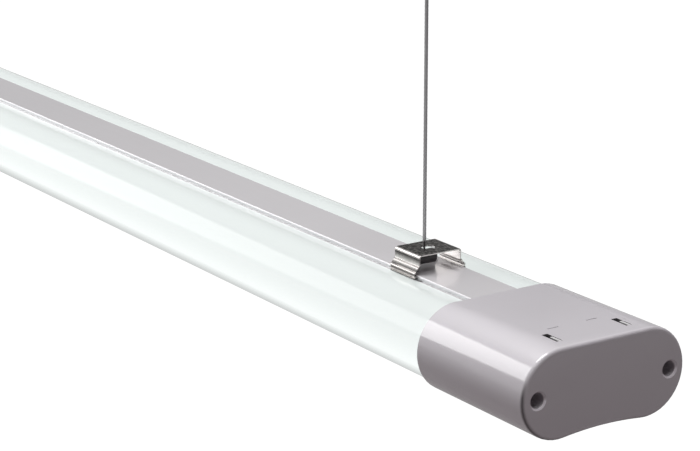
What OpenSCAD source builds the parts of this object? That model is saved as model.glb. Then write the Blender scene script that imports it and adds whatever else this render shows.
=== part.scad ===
// Hanging shop light: a slim two-lobed LED tube between grey end caps, hung on two steel wires.
// All sizes are millimetres. X runs along the light, the cap seen close up is at +X, Z is up.
// The origin lies in the ceiling plane, midway between the two ceiling fittings. The wires hang at
// y = 0, and the light hangs a little to the side of them, within the play of its clips' holes.

/* [Body] */
// Length over the two end caps
light_len = 1200; // [900:10:1500]
// Distance between the centre lines of the two lobes
lobe_spacing = 48.8; // [47:0.2:56]
// Height of the end caps
cap_h = 42; // [41:0.5:48]
// How far the underside rises between the lobes
low_dip = 1.5; // [1:0.1:2.5]
// How far the top of the tube sinks between the lobes
top_dip = 3; // [2.6:0.1:3.4]

/* [Diffuser] */
// Wall of the extruded opal tube
tube_wall = 2; // [1.5:0.1:2.2]
// Running gap between the tube's edges and the rail
tube_edge_gap = 0.1; // [0.05:0.05:0.2]
// How far the tube's tongue reaches into the rail
tongue_reach = 1; // [0.7:0.1:1.1]
// Thickness of that tongue
tongue_t = 0.8; // [0.6:0.1:0.9]
// Depth of the ledges that carry the gear tray
ledge_depth = 1.8; // [1.2:0.1:2.5]
// Thickness of those ledges
ledge_t = 0.9; // [0.7:0.1:1.2]

/* [Mounting rail] */
// Width of the rail on top of the tube
rail_w = 26.9; // [25:0.1:28]
// How far the rail's top lies under the top of the end caps
rail_drop = 1.15; // [1:0.05:1.4]
// Thickness of the edge that the clips hold
rail_lip_t = 1; // [0.8:0.1:1.1]
// Small chamfer on the rail's upper edges
rail_chamfer = 0.3; // [0.2:0.05:0.4]
// Depth of the side grooves for the clips
rail_groove = 0.9; // [0.8:0.05:1]
// Wall of the rail's top and sides
rail_wall = 1.5; // [1.2:0.1:1.6]
// Thickness of the fin above the tube's tongue
rail_fin_t = 0.7; // [0.6:0.05:0.8]
// Thickness of the flange that backs the tube's edge
rail_flange_t = 1.2; // [1:0.1:1.4]
// How far that flange reaches under the tube
rail_flange_reach = 2; // [1.5:0.1:2.5]

/* [End caps] */
// Length of an end cap
cap_len = 77; // [70:1:90]
// Wall of the sleeve over the tube
cap_wall = 1.7; // [1.5:0.1:1.9]
// Gap between sleeve and tube
cap_fit = 0.2; // [0.1:0.05:0.3]
// Thickness of the end face
cap_face_t = 2.5; // [2:0.1:3]
// Fillet round the end face
face_fillet = 2; // [1.5:0.1:2.4]
// Distance between the two screw pockets
screw_spacing = 73.8; // [72:0.2:75]
// How far the screws lie under mid-height
screw_drop = 0.5; // [0:0.1:1]
// Diameter of the screw pockets
pocket_d = 7; // [6.8:0.1:7.4]
// Depth of the screw pockets
pocket_depth = 10.5; // [9:0.5:12]
// Chamfer round the rim of a screw pocket
pocket_chamfer = 0.9; // [0.5:0.1:1]
// Outer diameter of the screw tubes inside the cap
pocket_tube_d = 11; // [10.6:0.1:11.4]
// Floor of the screw pockets
pocket_floor_t = 2.5; // [2:0.1:3]
// Length of a latch window along the light
window_len = 10.6; // [9:0.2:11]
// Width of a latch window
window_w = 3.3; // [3:0.1:3.6]
// Distance of the latch windows from the end face
window_inset = 8; // [7:0.2:9]
// Distance between the two latch windows
window_spacing = 39; // [37:0.5:40]
// Distance of the fine witness marks from the end face
mark_inset = 23.3; // [21:0.1:25]
// Length of a witness mark across the light
mark_len = 6; // [5:0.5:7]
// Distance between the two witness marks
mark_spacing = 21.7; // [20:0.1:24]
// Width of a witness mark
mark_w = 0.45; // [0.3:0.05:0.6]
// Depth of a witness mark
mark_depth = 0.3; // [0.2:0.05:0.4]

/* [End frames] */
// Distance of the frame's plate from the end face
frame_inset = 27.5; // [26:0.5:30]
// Thickness of the frame's plate
frame_t = 2.5; // [2:0.1:3]
// Length of the plug inside the tube
plug_len = 14; // [10:1:18]
// Wall of the plug
plug_wall = 1.8; // [1.4:0.1:2.2]
// Gap between plug and tube
plug_fit = 0.25; // [0.15:0.05:0.35]
// Thickness of the end gasket
gasket_t = 2; // [1.5:0.1:2.5]
// Outer diameter of the screw posts
post_d = 9; // [8:0.2:9.6]
// Diameter of the hole for the leads
lead_hole_d = 14; // [10:1:18]
// Thickness of a latch arm
latch_t = 1.3; // [1:0.1:1.5]
// Width of a latch nose
latch_nose_w = 1.4; // [1.2:0.1:1.5]
// Thickness of the lip on a latch nose
latch_lip_t = 0.5; // [0.4:0.1:0.7]
// Gap between a latch nose and its window
latch_gap = 0.3; // [0.2:0.05:0.4]

/* [Cap screws] */
// Diameter of the screw heads
head_d = 6.2; // [5.8:0.1:6.4]
// Height of the screw heads
head_h = 2.4; // [2:0.1:3]
// Diameter of the screw shanks
shank_d = 2.9; // [2.5:0.1:3.2]
// Length of the screw shanks
shank_len = 16; // [12:1:20]
// Width of the cross recess
recess_w = 0.9; // [0.7:0.1:1.1]
// Depth of the cross recess
recess_depth = 1.2; // [0.8:0.1:1.5]
// Running gap between a screw's thread and its post
shank_gap = 0.1; // [0.05:0.05:0.2]

/* [Clips] */
// Distance of a clip's centre from the end face
clip_inset = 132.2; // [125:0.1:200]
// Length of a clip along the rail
clip_len = 20; // [16:0.5:22]
// Height of the clip's plate over the rail
clip_rise = 9.3; // [8.5:0.1:11]
// Width of the clip over its straight legs
clip_w = 24.6; // [24:0.1:25.4]
// Thickness of the spring steel
clip_t = 0.7; // [0.6:0.05:0.75]
// Outer radius of the bends beside the plate
clip_bend_r = 1.5; // [1.2:0.1:2]
// Height over the rail at which a leg starts to flare outwards
leg_flare_z = 4; // [3:0.1:4.5]
// How far a leg's crests stand out from the rail, on the sheet's middle
crest_out = 1.2; // [1:0.05:1.3]
// Height of the upper crest over the rail
crest_z = 0.9; // [0.7:0.05:1]
// How far the notch between the crests stands out
notch_out = 0.75; // [0.7:0.05:0.9]
// Height of the notch over the rail
notch_z = 0.15; // [0:0.05:0.2]
// Height of the lower crest over the rail
low_crest_z = -0.6; // [-0.7:0.05:-0.5]
// How far the hook under the rail's edge stands out
hook_out = 0.1; // [0:0.05:0.2]
// Height of the hook over the rail
hook_z = -1.45; // [-1.5:0.05:-1.4]
// How far the turned-out foot reaches
foot_out = 1.55; // [1.3:0.05:1.8]
// Height of the foot's end over the rail
foot_z = -1.7; // [-1.8:0.05:-1.6]
// Diameter of the hole in the plate
clip_hole_d = 6.6; // [6.5:0.1:7]
// How far the wires hang to the near side of the clips' holes
wire_offset = 2.2; // [0:0.1:2.2]

/* [Suspension wires] */
// Diameter of the steel rope
rope_d = 1.8; // [1.5:0.1:2]
// Diameter of the bar under the clip's plate
bar_d = 7; // [6:0.1:7.2]
// Length of that bar
bar_len = 11; // [8:0.5:12]
// Diameter of the bar's neck
neck_d = 1; // [0.9:0.05:1.2]
// Length of the neck from the bar's centre
neck_len = 7.7; // [7:0.1:8.5]
// Chamfer on the ends of the bars
bar_chamfer = 0.4; // [0.2:0.05:0.5]
// Seat gap between the bar and the plate
bar_gap = 0.05; // [0.02:0.01:0.1]
// Drop from the pivot in the ceiling fitting to the bar
hang_drop = 137.7; // [137.5:0.1:137.9]

/* [Ceiling fittings] */
// Diameter of the ceiling fitting
cup_d = 20; // [19:0.5:24]
// Thickness of the disc at the ceiling
disc_t = 3; // [2:0.5:4]
// Inner diameter of the cup
cup_bore_d = 14; // [13:0.5:15]
// Length of the disc's spigot inside the cup
spigot_len = 5; // [4:0.5:6]
// Gap between spigot and cup
spigot_gap = 0.1; // [0.05:0.05:0.2]
// Depth of the wire's pivot under the ceiling
pivot_depth = 14; // [13.8:0.1:14.2]
// Height of the cup under the pivot
cup_foot = 5.5; // [5:0.1:6]
// How far a wire may lean each way, in degrees
wire_lean = 20; // [10:1:22]
// Diameter of the ball saddle
saddle_d = 9; // [8.6:0.1:9.4]
// Running gap round the ball saddle
saddle_gap = 0.05; // [0.03:0.01:0.08]
// Height of the saddle over its pivot
saddle_top = 1.2; // [0.8:0.1:1.4]
// Depth of the saddle's seat under the pivot
seat_depth = 3.3; // [3.1:0.05:3.4]
// Diameter of the upper bar in the saddle
top_bar_d = 3.2; // [3:0.1:3.6]
// Length of the upper bar
top_bar_len = 6; // [5:0.2:6.6]
// Diameter of the screw hole in the ceiling disc
ceiling_hole_d = 4.5; // [4:0.5:5]
// Diameter of the recess for the screw's head
ceiling_recess_d = 9; // [8:0.5:10]
// Depth of ceiling disc left under the screw's head
ceiling_grip = 4; // [3:0.5:4.5]

/* [Gear tray] */
// Thickness of the gear tray
tray_t = 1; // [0.8:0.1:1.2]
// Gap between tray and tube
tray_gap = 0.3; // [0.2:0.05:0.4]
// Height of the tray's stiffening folds
fold_h = 3; // [2:0.5:4]
// Distance between the two folds
fold_spacing = 42; // [40:1:46]
// Gap between the tray's ends and the plugs
tray_end_gap = 2; // [1:0.5:4]

/* [LED boards] */
// Width of an LED board
board_w = 20; // [14:1:22]
// Thickness of an LED board
board_t = 1.6; // [1:0.1:2]
// Gap between the boards' ends and the tray's ends
board_end_gap = 6; // [2:1:12]
// Number of LEDs on a board
chip_count = 44; // [30:1:60]
// Length of an LED
chip_len = 3.5; // [3:0.1:5]
// Width of an LED
chip_w = 2.8; // [2:0.1:3.5]
// Height of an LED
chip_t = 0.8; // [0.6:0.1:1]
// Length of a lead socket on a board
socket_len = 9; // [7:0.5:12]
// Width of a lead socket
socket_w = 6; // [5:0.5:8]
// Height of a lead socket
socket_h = 3.2; // [2.6:0.1:4]

/* [Driver] */
// Length of the LED driver
driver_len = 280; // [200:10:320]
// Width of the LED driver
driver_w = 34; // [30:1:36]
// Height of the LED driver
driver_h = 11; // [10.6:0.1:11.6]
// Distance of the driver from the far end face
driver_inset = 130; // [120:5:160]
// Sheet of the driver's case
case_t = 0.8; // [0.6:0.1:1]
// Height of the base's side walls
base_wall_h = 4; // [3:0.5:5]
// Gap between the driver's cover and its base
case_gap = 0.1; // [0.05:0.05:0.2]
// Gap between the driver and the rail
driver_gap = 0.2; // [0.1:0.05:0.4]
// Height of the board's standoffs
standoff_h = 1; // [0.8:0.1:1.4]
// Diameter of the standoffs
standoff_d = 4; // [3:0.5:5]
// Thickness of the driver's circuit board
pcb_t = 1.6; // [1.2:0.1:1.8]
// Distance between the driver's two output leads
output_spacing = 8.8; // [8:0.2:9.6]

/* [Terminal block] */
// Length of the terminal block along the light
block_len = 16; // [14:1:20]
// Width of the terminal block
block_w = 27; // [24:1:30]
// Height of the terminal block
block_h = 9; // [8:0.5:10]
// Distance between the block's poles
pole_spacing = 8; // [7:0.5:9]
// Diameter of the wire holes
pole_d = 4; // [3:0.2:4.4]
// Distance between the terminal block and the driver
block_gap = 24; // [20:1:30]
// Diameter of the terminal screws
pole_screw_d = 3.4; // [3:0.2:4]
// Height of the terminal screws over their seats
pole_screw_h = 2.5; // [2:0.1:3]
// Diameter of an insulated lead
lead_d = 2.2; // [1.6:0.1:2.4]
// Gap round a lead where it passes through the tray
lead_pass_gap = 1; // [0.6:0.1:2]
// Distance from the driver to where its leads pass through the tray
lead_run = 60; // [50:1:80]

/* [Cable entry] */
// Diameter of the gland's thread
thread_d = 16; // [15:0.5:17]
// Length of the gland's thread inside the cap
thread_len = 9; // [8:0.5:10]
// Bore through the gland
gland_bore_d = 10; // [9.6:0.1:10.4]
// Width of the gland's hexagons across the flats
hex_af = 20; // [19:0.5:22]
// Thickness of the gland's flange
gland_flange_t = 4; // [3:0.5:5]
// Length of the gland's outer thread
outer_thread_len = 8; // [7:0.5:9]
// Length of the clamping nut
nut_len = 13; // [12.5:0.5:15]
// Thickness of the locknut
locknut_t = 3; // [2.5:0.5:4]
// Bore of the seal, for the mains cable
seal_bore_d = 8; // [7.5:0.1:8.4]
// Length of the seal
seal_len = 8; // [7:0.5:9]
// Gap between threads and nuts
thread_gap = 0.1; // [0.05:0.05:0.15]

/* [Hidden] */
// One overrun for all cuts, and the fineness of round shapes
cut = 1;
$fn = 96;
lobe_steps = 24;
valley_steps = 6;
fillet_steps = 4;

// Section of the body, measured from its centre line
lobe_y = lobe_spacing / 2;
cap_r = cap_h / 2;
sleeve_r = cap_r - cap_wall;
tube_r = sleeve_r - cap_fit;
tube_inner_r = tube_r - tube_wall;
rail_y = rail_w / 2;
rail_z = cap_r - rail_drop;

// Rail: heights of its steps, from the top down
edge_z = valley_height(tube_r, top_dip, rail_y);
lip_z = rail_z - rail_lip_t;
groove_y = rail_y - rail_groove;
fin_z = edge_z - rail_fin_t;
tongue_gap = (rail_fin_t - tube_edge_gap) / 6;
tongue_z = fin_z - tongue_gap;
slot_z = tongue_z - tongue_t - tongue_gap;
slot_y = rail_y + tube_edge_gap - tongue_reach - tongue_gap;
flange_y = rail_y + rail_flange_reach;
flange_z = valley_height(tube_inner_r, top_dip, rail_y + tube_edge_gap) - tube_edge_gap;
rail_floor_z = flange_z - rail_flange_t;
rail_inner_y = slot_y - rail_wall;
rail_ceiling_z = rail_z - rail_wall;

// Places along the light, measured inwards from an end face
tube_inset = frame_inset + frame_t + gasket_t;
plug_end = tube_inset + plug_len;
tray_inset = plug_end + tray_end_gap;
cap_reach = cap_len + cut;

// Gear tray and driver
driver_top_z = rail_floor_z - driver_gap;
tray_z = driver_top_z - driver_h;
tray_low_z = tray_z - tray_t;
tray_y = inner_half_width(tray_z) - tray_gap;
ledge_gap = tray_gap / 3;
board_z = tray_low_z - board_t;
tray_half = light_len / 2 - tray_inset;
board_half = tray_half - board_end_gap;
chip_pitch = 2 * board_half / (chip_count + 1);
driver_rear_x = driver_inset - light_len / 2;
driver_front_x = driver_rear_x + driver_len;
driver_x = (driver_rear_x + driver_front_x) / 2;
pcb_z = tray_z + case_t + standoff_h;
pcb_top_z = pcb_z + pcb_t;
case_hole_z = tray_z + driver_h / 2;
block_x = driver_rear_x - block_gap - block_len / 2;
lead_rows = [-pole_spacing, 0, pole_spacing];
lead_pass_d = lead_d + 2 * lead_pass_gap;
lead_drop_x = driver_front_x + lead_run;
socket_x = lead_drop_x + lead_pass_d / 2 + socket_len / 2;

// Hanging: the pivot in the fitting, the bar under the plate, and the light
anchor_x = light_len / 2 - clip_inset;
pivot_z = -pivot_depth;
bar_z = pivot_z - hang_drop;
plate_z = bar_z + bar_d / 2 + bar_gap;
light_z = plate_z + clip_t - clip_rise - rail_z;

// Route of a wire below its pivot, straight because the light pulls it taut
wire_top_z = -0.2;
wire_low_z = neck_len - hang_drop;
wire_steps = 29;
wire_route = [for (i = [0:wire_steps]) [0, 0, wire_top_z + (wire_low_z - wire_top_z) * i / wire_steps]];
// Flat sides of a rope or lead
tube_sides = 8;

// Shapes and formulas that several pieces share

// Radius sum of a lobe and the valley arc that touches both lobes and dips by the given depth
function valley_sum(dip) = (lobe_y * lobe_y + dip * dip) / (2 * dip);
// Height of the valley's surface at a distance y from the middle
function valley_height(r, dip, y) =
  let (sum = valley_sum(dip), big_r = sum - r)
  sum - dip - sqrt(big_r * big_r - y * y);
// Half the inner width of the tube at a height
function inner_half_width(z) = lobe_y + sqrt(tube_inner_r * tube_inner_r - z * z);
// Points on an arc from angle a0 to a1
function arc(centre, r, a0, a1, steps) =
  [for (i = [0:steps]) let (a = a0 + (a1 - a0) * i / steps) centre + r * [cos(a), sin(a)]];
// Angle past the vertical at which a lobe's arc runs into the valley's arc
function valley_turn(dip) = asin(lobe_y / valley_sum(dip));
// Points of the valley above (side 1) or below (side -1), without the two shared with the lobes
function valley_arc(r, dip, side) =
  let (sum = valley_sum(dip), mid = -90 * side, turn = valley_turn(dip), step = turn / valley_steps)
  arc([0, side * (sum - dip)], sum - r, mid + turn - step, mid - turn + step, 2 * valley_steps - 2);
// Outline with a valley below, and above it a valley too or a flat top
function outline_points(r, flat_top) =
  let (low = valley_turn(low_dip), top = flat_top ? 0 : valley_turn(top_dip))
  concat(
    arc([lobe_y, 0], r, -90 - low, 90 + top, lobe_steps),
    flat_top ? [] : valley_arc(r, top_dip, 1),
    arc([-lobe_y, 0], r, 90 - top, 270 + low, lobe_steps),
    valley_arc(r, low_dip, -1)
  );
module lobed_outline(r) {
  polygon(outline_points(r, false));
}

// A closed skin over rings of equally many points, each ring running right-handed about the way forward
module skin(rings) {
  n = len(rings[0]);
  last = len(rings) - 1;
  sides = [
    for (i = [0:last - 1], k = [0:n - 1])
      let (j = (k + 1) % n, a = i * n)
        [a + k, a + n + k, a + n + j, a + j]
  ];
  polyhedron(
    [for (ring = rings) each ring],
    concat([[for (k = [0:n - 1]) k]], sides, [[for (k = [n - 1:-1:0]) last * n + k]])
  );
}

// Extrudes an outline of the plane across the light along X, from x0 to x1
module along_x(x0, x1) {
  translate([x0, 0, 0]) rotate([90, 0, 90]) linear_extrude(x1 - x0) children();
}

// A box given by its lowest and highest corners
module box(low, high) {
  translate(low) cube(high - low);
}

// A round bar along X or Y, from one end to the other
module rod_x(d, x0, x1) {
  translate([x0, 0, 0]) rotate([0, 90, 0]) cylinder(d = d, h = x1 - x0);
}
module rod_y(d, y0, y1) {
  translate([0, y0, 0]) rotate([-90, 0, 0]) cylinder(d = d, h = y1 - y0);
}

// Puts a piece at the front end face, or mirrored at the rear one
module at_front() {
  translate([light_len / 2, wire_offset, light_z]) children();
}
module at_rear() {
  mirror([1, 0, 0]) at_front() children();
}
module in_light() {
  translate([0, wire_offset, light_z]) children();
}
module at_anchor(side) {
  translate([side * anchor_x, 0, 0]) children();
}

// A tube with flat sides through the route's points; across is a direction the route never takes
function unit(v) = v / norm(v);
function heading(p, i) = unit(p[min(i + 1, len(p) - 1)] - p[max(i - 1, 0)]);
module swept_tube(p, d, across) {
  skin([
    for (i = [0:len(p) - 1])
      let (t = heading(p, i), u = unit(cross(across, t)), v = cross(t, u))
        [for (k = [0:tube_sides - 1]) let (a = 360 * k / tube_sides) p[i] + d / 2 * (u * cos(a) + v * sin(a))]
  ]);
}

// Tube and rail

// Opal tube, open along the top where the rail closes it
module diffuser() {
  color([0.93, 0.95, 0.94])
  in_light()
  along_x(tube_inset - light_len / 2, light_len / 2 - tube_inset) {
    difference() {
      lobed_outline(tube_r);
      difference() {
        lobed_outline(tube_inner_r);
        for (side = [-1, 1])
          tray_ledges(side);
      }
      translate([-rail_y - tube_edge_gap, 0]) square([rail_w + 2 * tube_edge_gap, cap_h]);
    }
    for (side = [-1, 1])
      tube_tongue(side);
  }
}

// Two ledges on the inner wall that take the tray's edge between them
module tray_ledges(side) {
  ledge_y = tray_y - ledge_depth;
  for (low_z = [tray_low_z - ledge_gap - ledge_t, tray_z + ledge_gap])
    translate([side > 0 ? ledge_y : -cap_h - ledge_y, low_z]) square([cap_h, ledge_t]);
}

// Edge of the tube that hooks into the rail's slot
module tube_tongue(side) {
  reach = tongue_reach + tube_wall;
  inner_y = rail_y + tube_edge_gap - tongue_reach;
  translate([side > 0 ? inner_y : -inner_y - reach, tongue_z - tongue_t]) square([reach, tongue_t]);
}

// Half of the rail's section, from the middle outwards and back
rail_half = [
  [rail_y - rail_chamfer, rail_z],
  [rail_y, rail_z - rail_chamfer],
  [rail_y, lip_z],
  [groove_y, lip_z],
  [groove_y, edge_z],
  [rail_y, edge_z],
  [rail_y, fin_z],
  [slot_y, fin_z],
  [slot_y, slot_z],
  [rail_y, slot_z],
  [rail_y, flange_z],
  [flange_y, flange_z],
  [flange_y, rail_floor_z],
  [rail_inner_y, rail_floor_z],
  [rail_inner_y, rail_ceiling_z]
];

module mounting_rail() {
  mirrored = [for (i = [len(rail_half) - 1:-1:0]) [-rail_half[i][0], rail_half[i][1]]];
  color([0.77, 0.77, 0.78])
  in_light()
  along_x(tube_inset - light_len / 2, light_len / 2 - tube_inset)
    polygon(concat(rail_half, mirrored));
}

// Sheet tray that carries the driver above and the LED boards below
module gear_tray() {
  color([0.9, 0.9, 0.9])
  in_light()
  difference() {
    union() {
      box([-tray_half, -tray_y, tray_low_z], [tray_half, tray_y, tray_z]);
      for (side = [-1, 1])
        box(
          [-tray_half, side * fold_spacing / 2 - tray_t / 2, tray_z],
          [tray_half, side * fold_spacing / 2 + tray_t / 2, tray_z + fold_h]
        );
    }
    for (side = [-1, 1])
      translate([lead_drop_x, side * lobe_y, 0]) cylinder(d = lead_pass_d, h = cap_h, center = true);
  }
}

// End caps

// Solid cap with its face at x = 0 and a fillet round the face
module cap_block() {
  function ring(x, inset) = [for (q = outline_points(cap_r - inset, true)) [x, q[0], q[1]]];
  skin(concat(
    [ring(-cap_len, 0)],
    [
      for (i = [0:fillet_steps])
        let (a = 90 * i / fillet_steps)
          ring(face_fillet * (sin(a) - 1), face_fillet * (1 - cos(a)))
    ]
  ));
}

// Hollow cap with screw pockets, latch windows and witness marks
module cap_shell() {
  difference() {
    union() {
      difference() {
        cap_block();
        along_x(-cap_reach, -cap_face_t) {
          lobed_outline(sleeve_r);
          translate([-rail_y - cap_fit, 0]) square([rail_w + 2 * cap_fit, rail_z + cap_fit]);
        }
      }
      for (side = [-1, 1])
        translate([0, side * screw_spacing / 2, -screw_drop])
          rod_x(pocket_tube_d, -pocket_depth - pocket_floor_t, -cap_face_t / 2);
    }
    for (side = [-1, 1]) {
      translate([0, side * screw_spacing / 2, -screw_drop]) {
        rod_x(pocket_d, -pocket_depth, cut);
        translate([-pocket_chamfer, 0, 0]) rotate([0, 90, 0])
          cylinder(d1 = pocket_d, d2 = pocket_d + 2 * (pocket_chamfer + cut), h = pocket_chamfer + cut);
        rod_x(shank_d + 2 * latch_gap, -cap_len, cut);
      }
      box(
        [-window_inset - window_len, side * window_spacing / 2 - window_w / 2, cap_r / 2],
        [-window_inset, side * window_spacing / 2 + window_w / 2, cap_h]
      );
      box(
        [-mark_inset - mark_w, side * mark_spacing / 2 - mark_len / 2, cap_r - mark_depth],
        [-mark_inset, side * mark_spacing / 2 + mark_len / 2, cap_h]
      );
    }
  }
}

module end_cap_front() {
  color([0.72, 0.71, 0.73])
  at_front() cap_shell();
}

// The rear cap also has the hole for the cable gland
module end_cap_rear() {
  color([0.72, 0.71, 0.73])
  at_rear()
  difference() {
    cap_shell();
    rod_x(thread_d + 2 * thread_gap, -cap_face_t - cut, cut);
  }
}

// Moulded frame inside a cap: plate, plug in the tube, screw posts and two latch arms
module end_frame() {
  plug_r = tube_inner_r - plug_fit;
  post_front = -pocket_depth - pocket_floor_t;
  difference() {
    union() {
      along_x(-frame_inset - frame_t, -frame_inset) lobed_outline(tube_r);
      for (side = [-1, 1])
        translate([0, side * screw_spacing / 2, -screw_drop]) rod_x(post_d, -frame_inset - cut, post_front);
    }
    rod_x(lead_hole_d, -frame_inset - frame_t - cut, 0);
    for (side = [-1, 1])
      translate([0, side * screw_spacing / 2, -screw_drop])
        rod_x(shank_d + shank_gap, post_front - shank_len, cut);
  }
  difference() {
    along_x(-plug_end, -frame_inset - frame_t) lobed_outline(plug_r);
    along_x(-plug_end - cut, -frame_inset - frame_t) lobed_outline(plug_r - plug_wall);
    box([-plug_end - cut, -flange_y - plug_fit, 0], [-frame_inset - frame_t, flange_y + plug_fit, cap_h]);
    for (side = [-1, 1])
      translate([0, side * tray_y, 0])
        box(
          [-plug_end - cut, -2 * ledge_depth, tray_low_z - ledge_t - 2 * plug_fit],
          [-frame_inset - frame_t - gasket_t, 2 * ledge_depth, tray_z + ledge_t + 2 * plug_fit]
        );
  }
  for (side = [-1, 1])
    translate([0, side * window_spacing / 2, 0]) latch_arm();
}

// Springy arm whose nose stands in the window of the cap, a thin lip over a narrow stem
module latch_arm() {
  top_z = valley_height(tube_r, top_dip, window_spacing / 2 - window_w / 2) - latch_gap;
  far_y = window_w / 2 - latch_gap;
  nose_z = cap_r - latch_gap / 2;
  nose_front = -window_inset - latch_gap;
  nose_rear = -window_inset - window_len + latch_t * 2;
  box([-frame_inset - cut, far_y - latch_nose_w, top_z - latch_t], [nose_front, far_y, top_z]);
  box([nose_rear + latch_t, far_y - latch_nose_w, nose_z - latch_lip_t], [nose_front, far_y, nose_z]);
  translate([0, far_y, 0]) rotate([90, 0, 0]) linear_extrude(latch_t / 2)
    polygon([
      [nose_rear, top_z - latch_t],
      [nose_rear, top_z],
      [nose_rear + latch_t, nose_z],
      [nose_front, nose_z],
      [nose_front, top_z - latch_t]
    ]);
}

module end_frame_front() {
  color([0.8, 0.8, 0.81])
  at_front() end_frame();
}
module end_frame_rear() {
  color([0.8, 0.8, 0.81])
  at_rear() end_frame();
}

// Flat rubber ring between the frame's plate and the end of the tube, round the frame's plug
module end_gasket() {
  along_x(-tube_inset, -frame_inset - frame_t)
    difference() {
      lobed_outline(tube_r);
      lobed_outline(tube_inner_r);
    }
}
module end_gasket_front() {
  color([0.25, 0.25, 0.26])
  at_front() end_gasket();
}
module end_gasket_rear() {
  color([0.25, 0.25, 0.26])
  at_rear() end_gasket();
}

// Self-tapping screw whose head sits on the floor of its pocket
module cap_screws() {
  for (side = [-1, 1])
    translate([0, side * screw_spacing / 2, -screw_drop])
      difference() {
        union() {
          rod_x(head_d, -pocket_depth, head_h - pocket_depth);
          rod_x(shank_d, -pocket_depth - shank_len, -pocket_depth);
        }
        for (turn = [0, 90])
          rotate([turn, 0, 0])
            box(
              [head_h - pocket_depth - recess_depth, -recess_w / 2, -head_d / 4],
              [0, recess_w / 2, head_d / 4]
            );
      }
}
module cap_screws_front() {
  color([0.5, 0.5, 0.52])
  at_front() cap_screws();
}
module cap_screws_rear() {
  color([0.5, 0.5, 0.52])
  at_rear() cap_screws();
}

// LED boards

// One board under each half of the tray
module led_board(side) {
  in_light()
  difference() {
    box(
      [-board_half, side * lobe_y - board_w / 2, board_z],
      [board_half, side * lobe_y + board_w / 2, tray_low_z]
    );
    translate([lead_drop_x, side * lobe_y, 0]) cylinder(d = lead_pass_d, h = cap_h, center = true);
  }
}
module led_board_left() {
  color([0.95, 0.95, 0.95])
  led_board(-1);
}
module led_board_right() {
  color([0.95, 0.95, 0.95])
  led_board(1);
}

// A row of LEDs, with none where the lead socket sits
module led_chips(side) {
  in_light()
  for (i = [1:chip_count])
    let (x = -board_half + i * chip_pitch)
      if (abs(x - socket_x) > (socket_len + chip_len) / 2 + chip_t)
        translate([x, side * lobe_y, board_z - chip_t / 2]) cube([chip_len, chip_w, chip_t], center = true);
}
module led_chips_left() {
  color([0.97, 0.9, 0.55])
  led_chips(-1);
}
module led_chips_right() {
  color([0.97, 0.9, 0.55])
  led_chips(1);
}

// Sockets where the leads from the driver meet the boards
module board_sockets() {
  color([0.95, 0.95, 0.92])
  in_light()
  for (side = [-1, 1])
    box(
      [socket_x - socket_len / 2, side * lobe_y - socket_w / 2, board_z - socket_h],
      [socket_x + socket_len / 2, side * lobe_y + socket_w / 2, board_z]
    );
}

// Driver

// Shallow base with four standoffs
module driver_base() {
  wall_y = driver_w / 2 - case_t - case_gap;
  color([0.85, 0.85, 0.86])
  in_light()
  translate([driver_x, 0, tray_z]) {
    box([case_t + case_gap - driver_len / 2, -wall_y, 0], [driver_len / 2 - case_t - case_gap, wall_y, case_t]);
    for (side = [-1, 1])
      box(
        [case_t + case_gap - driver_len / 2, side * (wall_y - case_t / 2) - case_t / 2, 0],
        [driver_len / 2 - case_t - case_gap, side * (wall_y - case_t / 2) + case_t / 2, base_wall_h]
      );
    for (end = [-1, 1], side = [-1, 1])
      translate([end * (driver_len / 2 - 2 * standoff_d), side * (driver_w / 2 - 1.5 * standoff_d), 0])
        cylinder(d = standoff_d, h = case_t + standoff_h);
  }
}

// Circuit board on the standoffs
module driver_board() {
  pcb_y = driver_w / 2 - 2 * case_t - 2 * case_gap - pcb_t / 2;
  pcb_x = driver_len / 2 - standoff_d - case_t;
  color([0.2, 0.45, 0.3])
  in_light()
  box([driver_x - pcb_x, -pcb_y, pcb_z], [driver_x + pcb_x, pcb_y, pcb_top_z]);
}

// The larger parts on the circuit board: transformer, filter choke, capacitors and heat sink
module driver_components() {
  room = driver_top_z - case_t - 2 * case_gap - pcb_top_z;
  color([0.3, 0.3, 0.35])
  in_light()
  translate([driver_x, 0, pcb_top_z]) {
    for (place = component_shares)
      translate([place[0] * driver_len, place[1] * driver_w, 0])
        box(
          [-place[2] * driver_w / 2, -place[3] * driver_w / 2, 0],
          [place[2] * driver_w / 2, place[3] * driver_w / 2, place[4] * room]
        );
    for (place = capacitor_shares)
      translate([place[0] * driver_len, place[1] * driver_w, 0]) cylinder(d = place[2] * driver_w, h = room);
  }
}
// Blocks: place along and across the driver, length and width as shares of its width, height of the room
component_shares = [
  [0.05, 0, 0.62, 0.5, 1],
  [-0.2, 0.1, 0.4, 0.35, 0.9],
  [0.25, -0.15, 0.9, 0.1, 0.8],
  [-0.36, 0, 0.3, 0.45, 0.85],
  [0.38, 0.12, 0.35, 0.3, 0.6]
];
// Upright capacitors: place along and across the driver, diameter as a share of its width
capacitor_shares = [[-0.1, -0.15, 0.24], [-0.27, -0.18, 0.2], [0.16, 0.18, 0.24], [0.32, 0.1, 0.18]];

// Cover that closes the driver, with a lead hole at each end
module driver_cover() {
  color([0.85, 0.85, 0.86])
  in_light()
  difference() {
    box([driver_rear_x, -driver_w / 2, tray_z], [driver_front_x, driver_w / 2, driver_top_z]);
    box(
      [driver_rear_x + case_t, case_t - driver_w / 2, tray_z - cut],
      [driver_front_x - case_t, driver_w / 2 - case_t, driver_top_z - case_t]
    );
    for (y = lead_rows)
      translate([0, y, case_hole_z]) rod_x(lead_d + 2 * case_gap, driver_rear_x - cut, driver_rear_x + 2 * case_t);
    for (side = [-1, 1])
      translate([0, side * output_spacing / 2, case_hole_z])
        rod_x(lead_d + 2 * case_gap, driver_front_x - 2 * case_t, driver_front_x + cut);
  }
}

// Mains side

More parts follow.
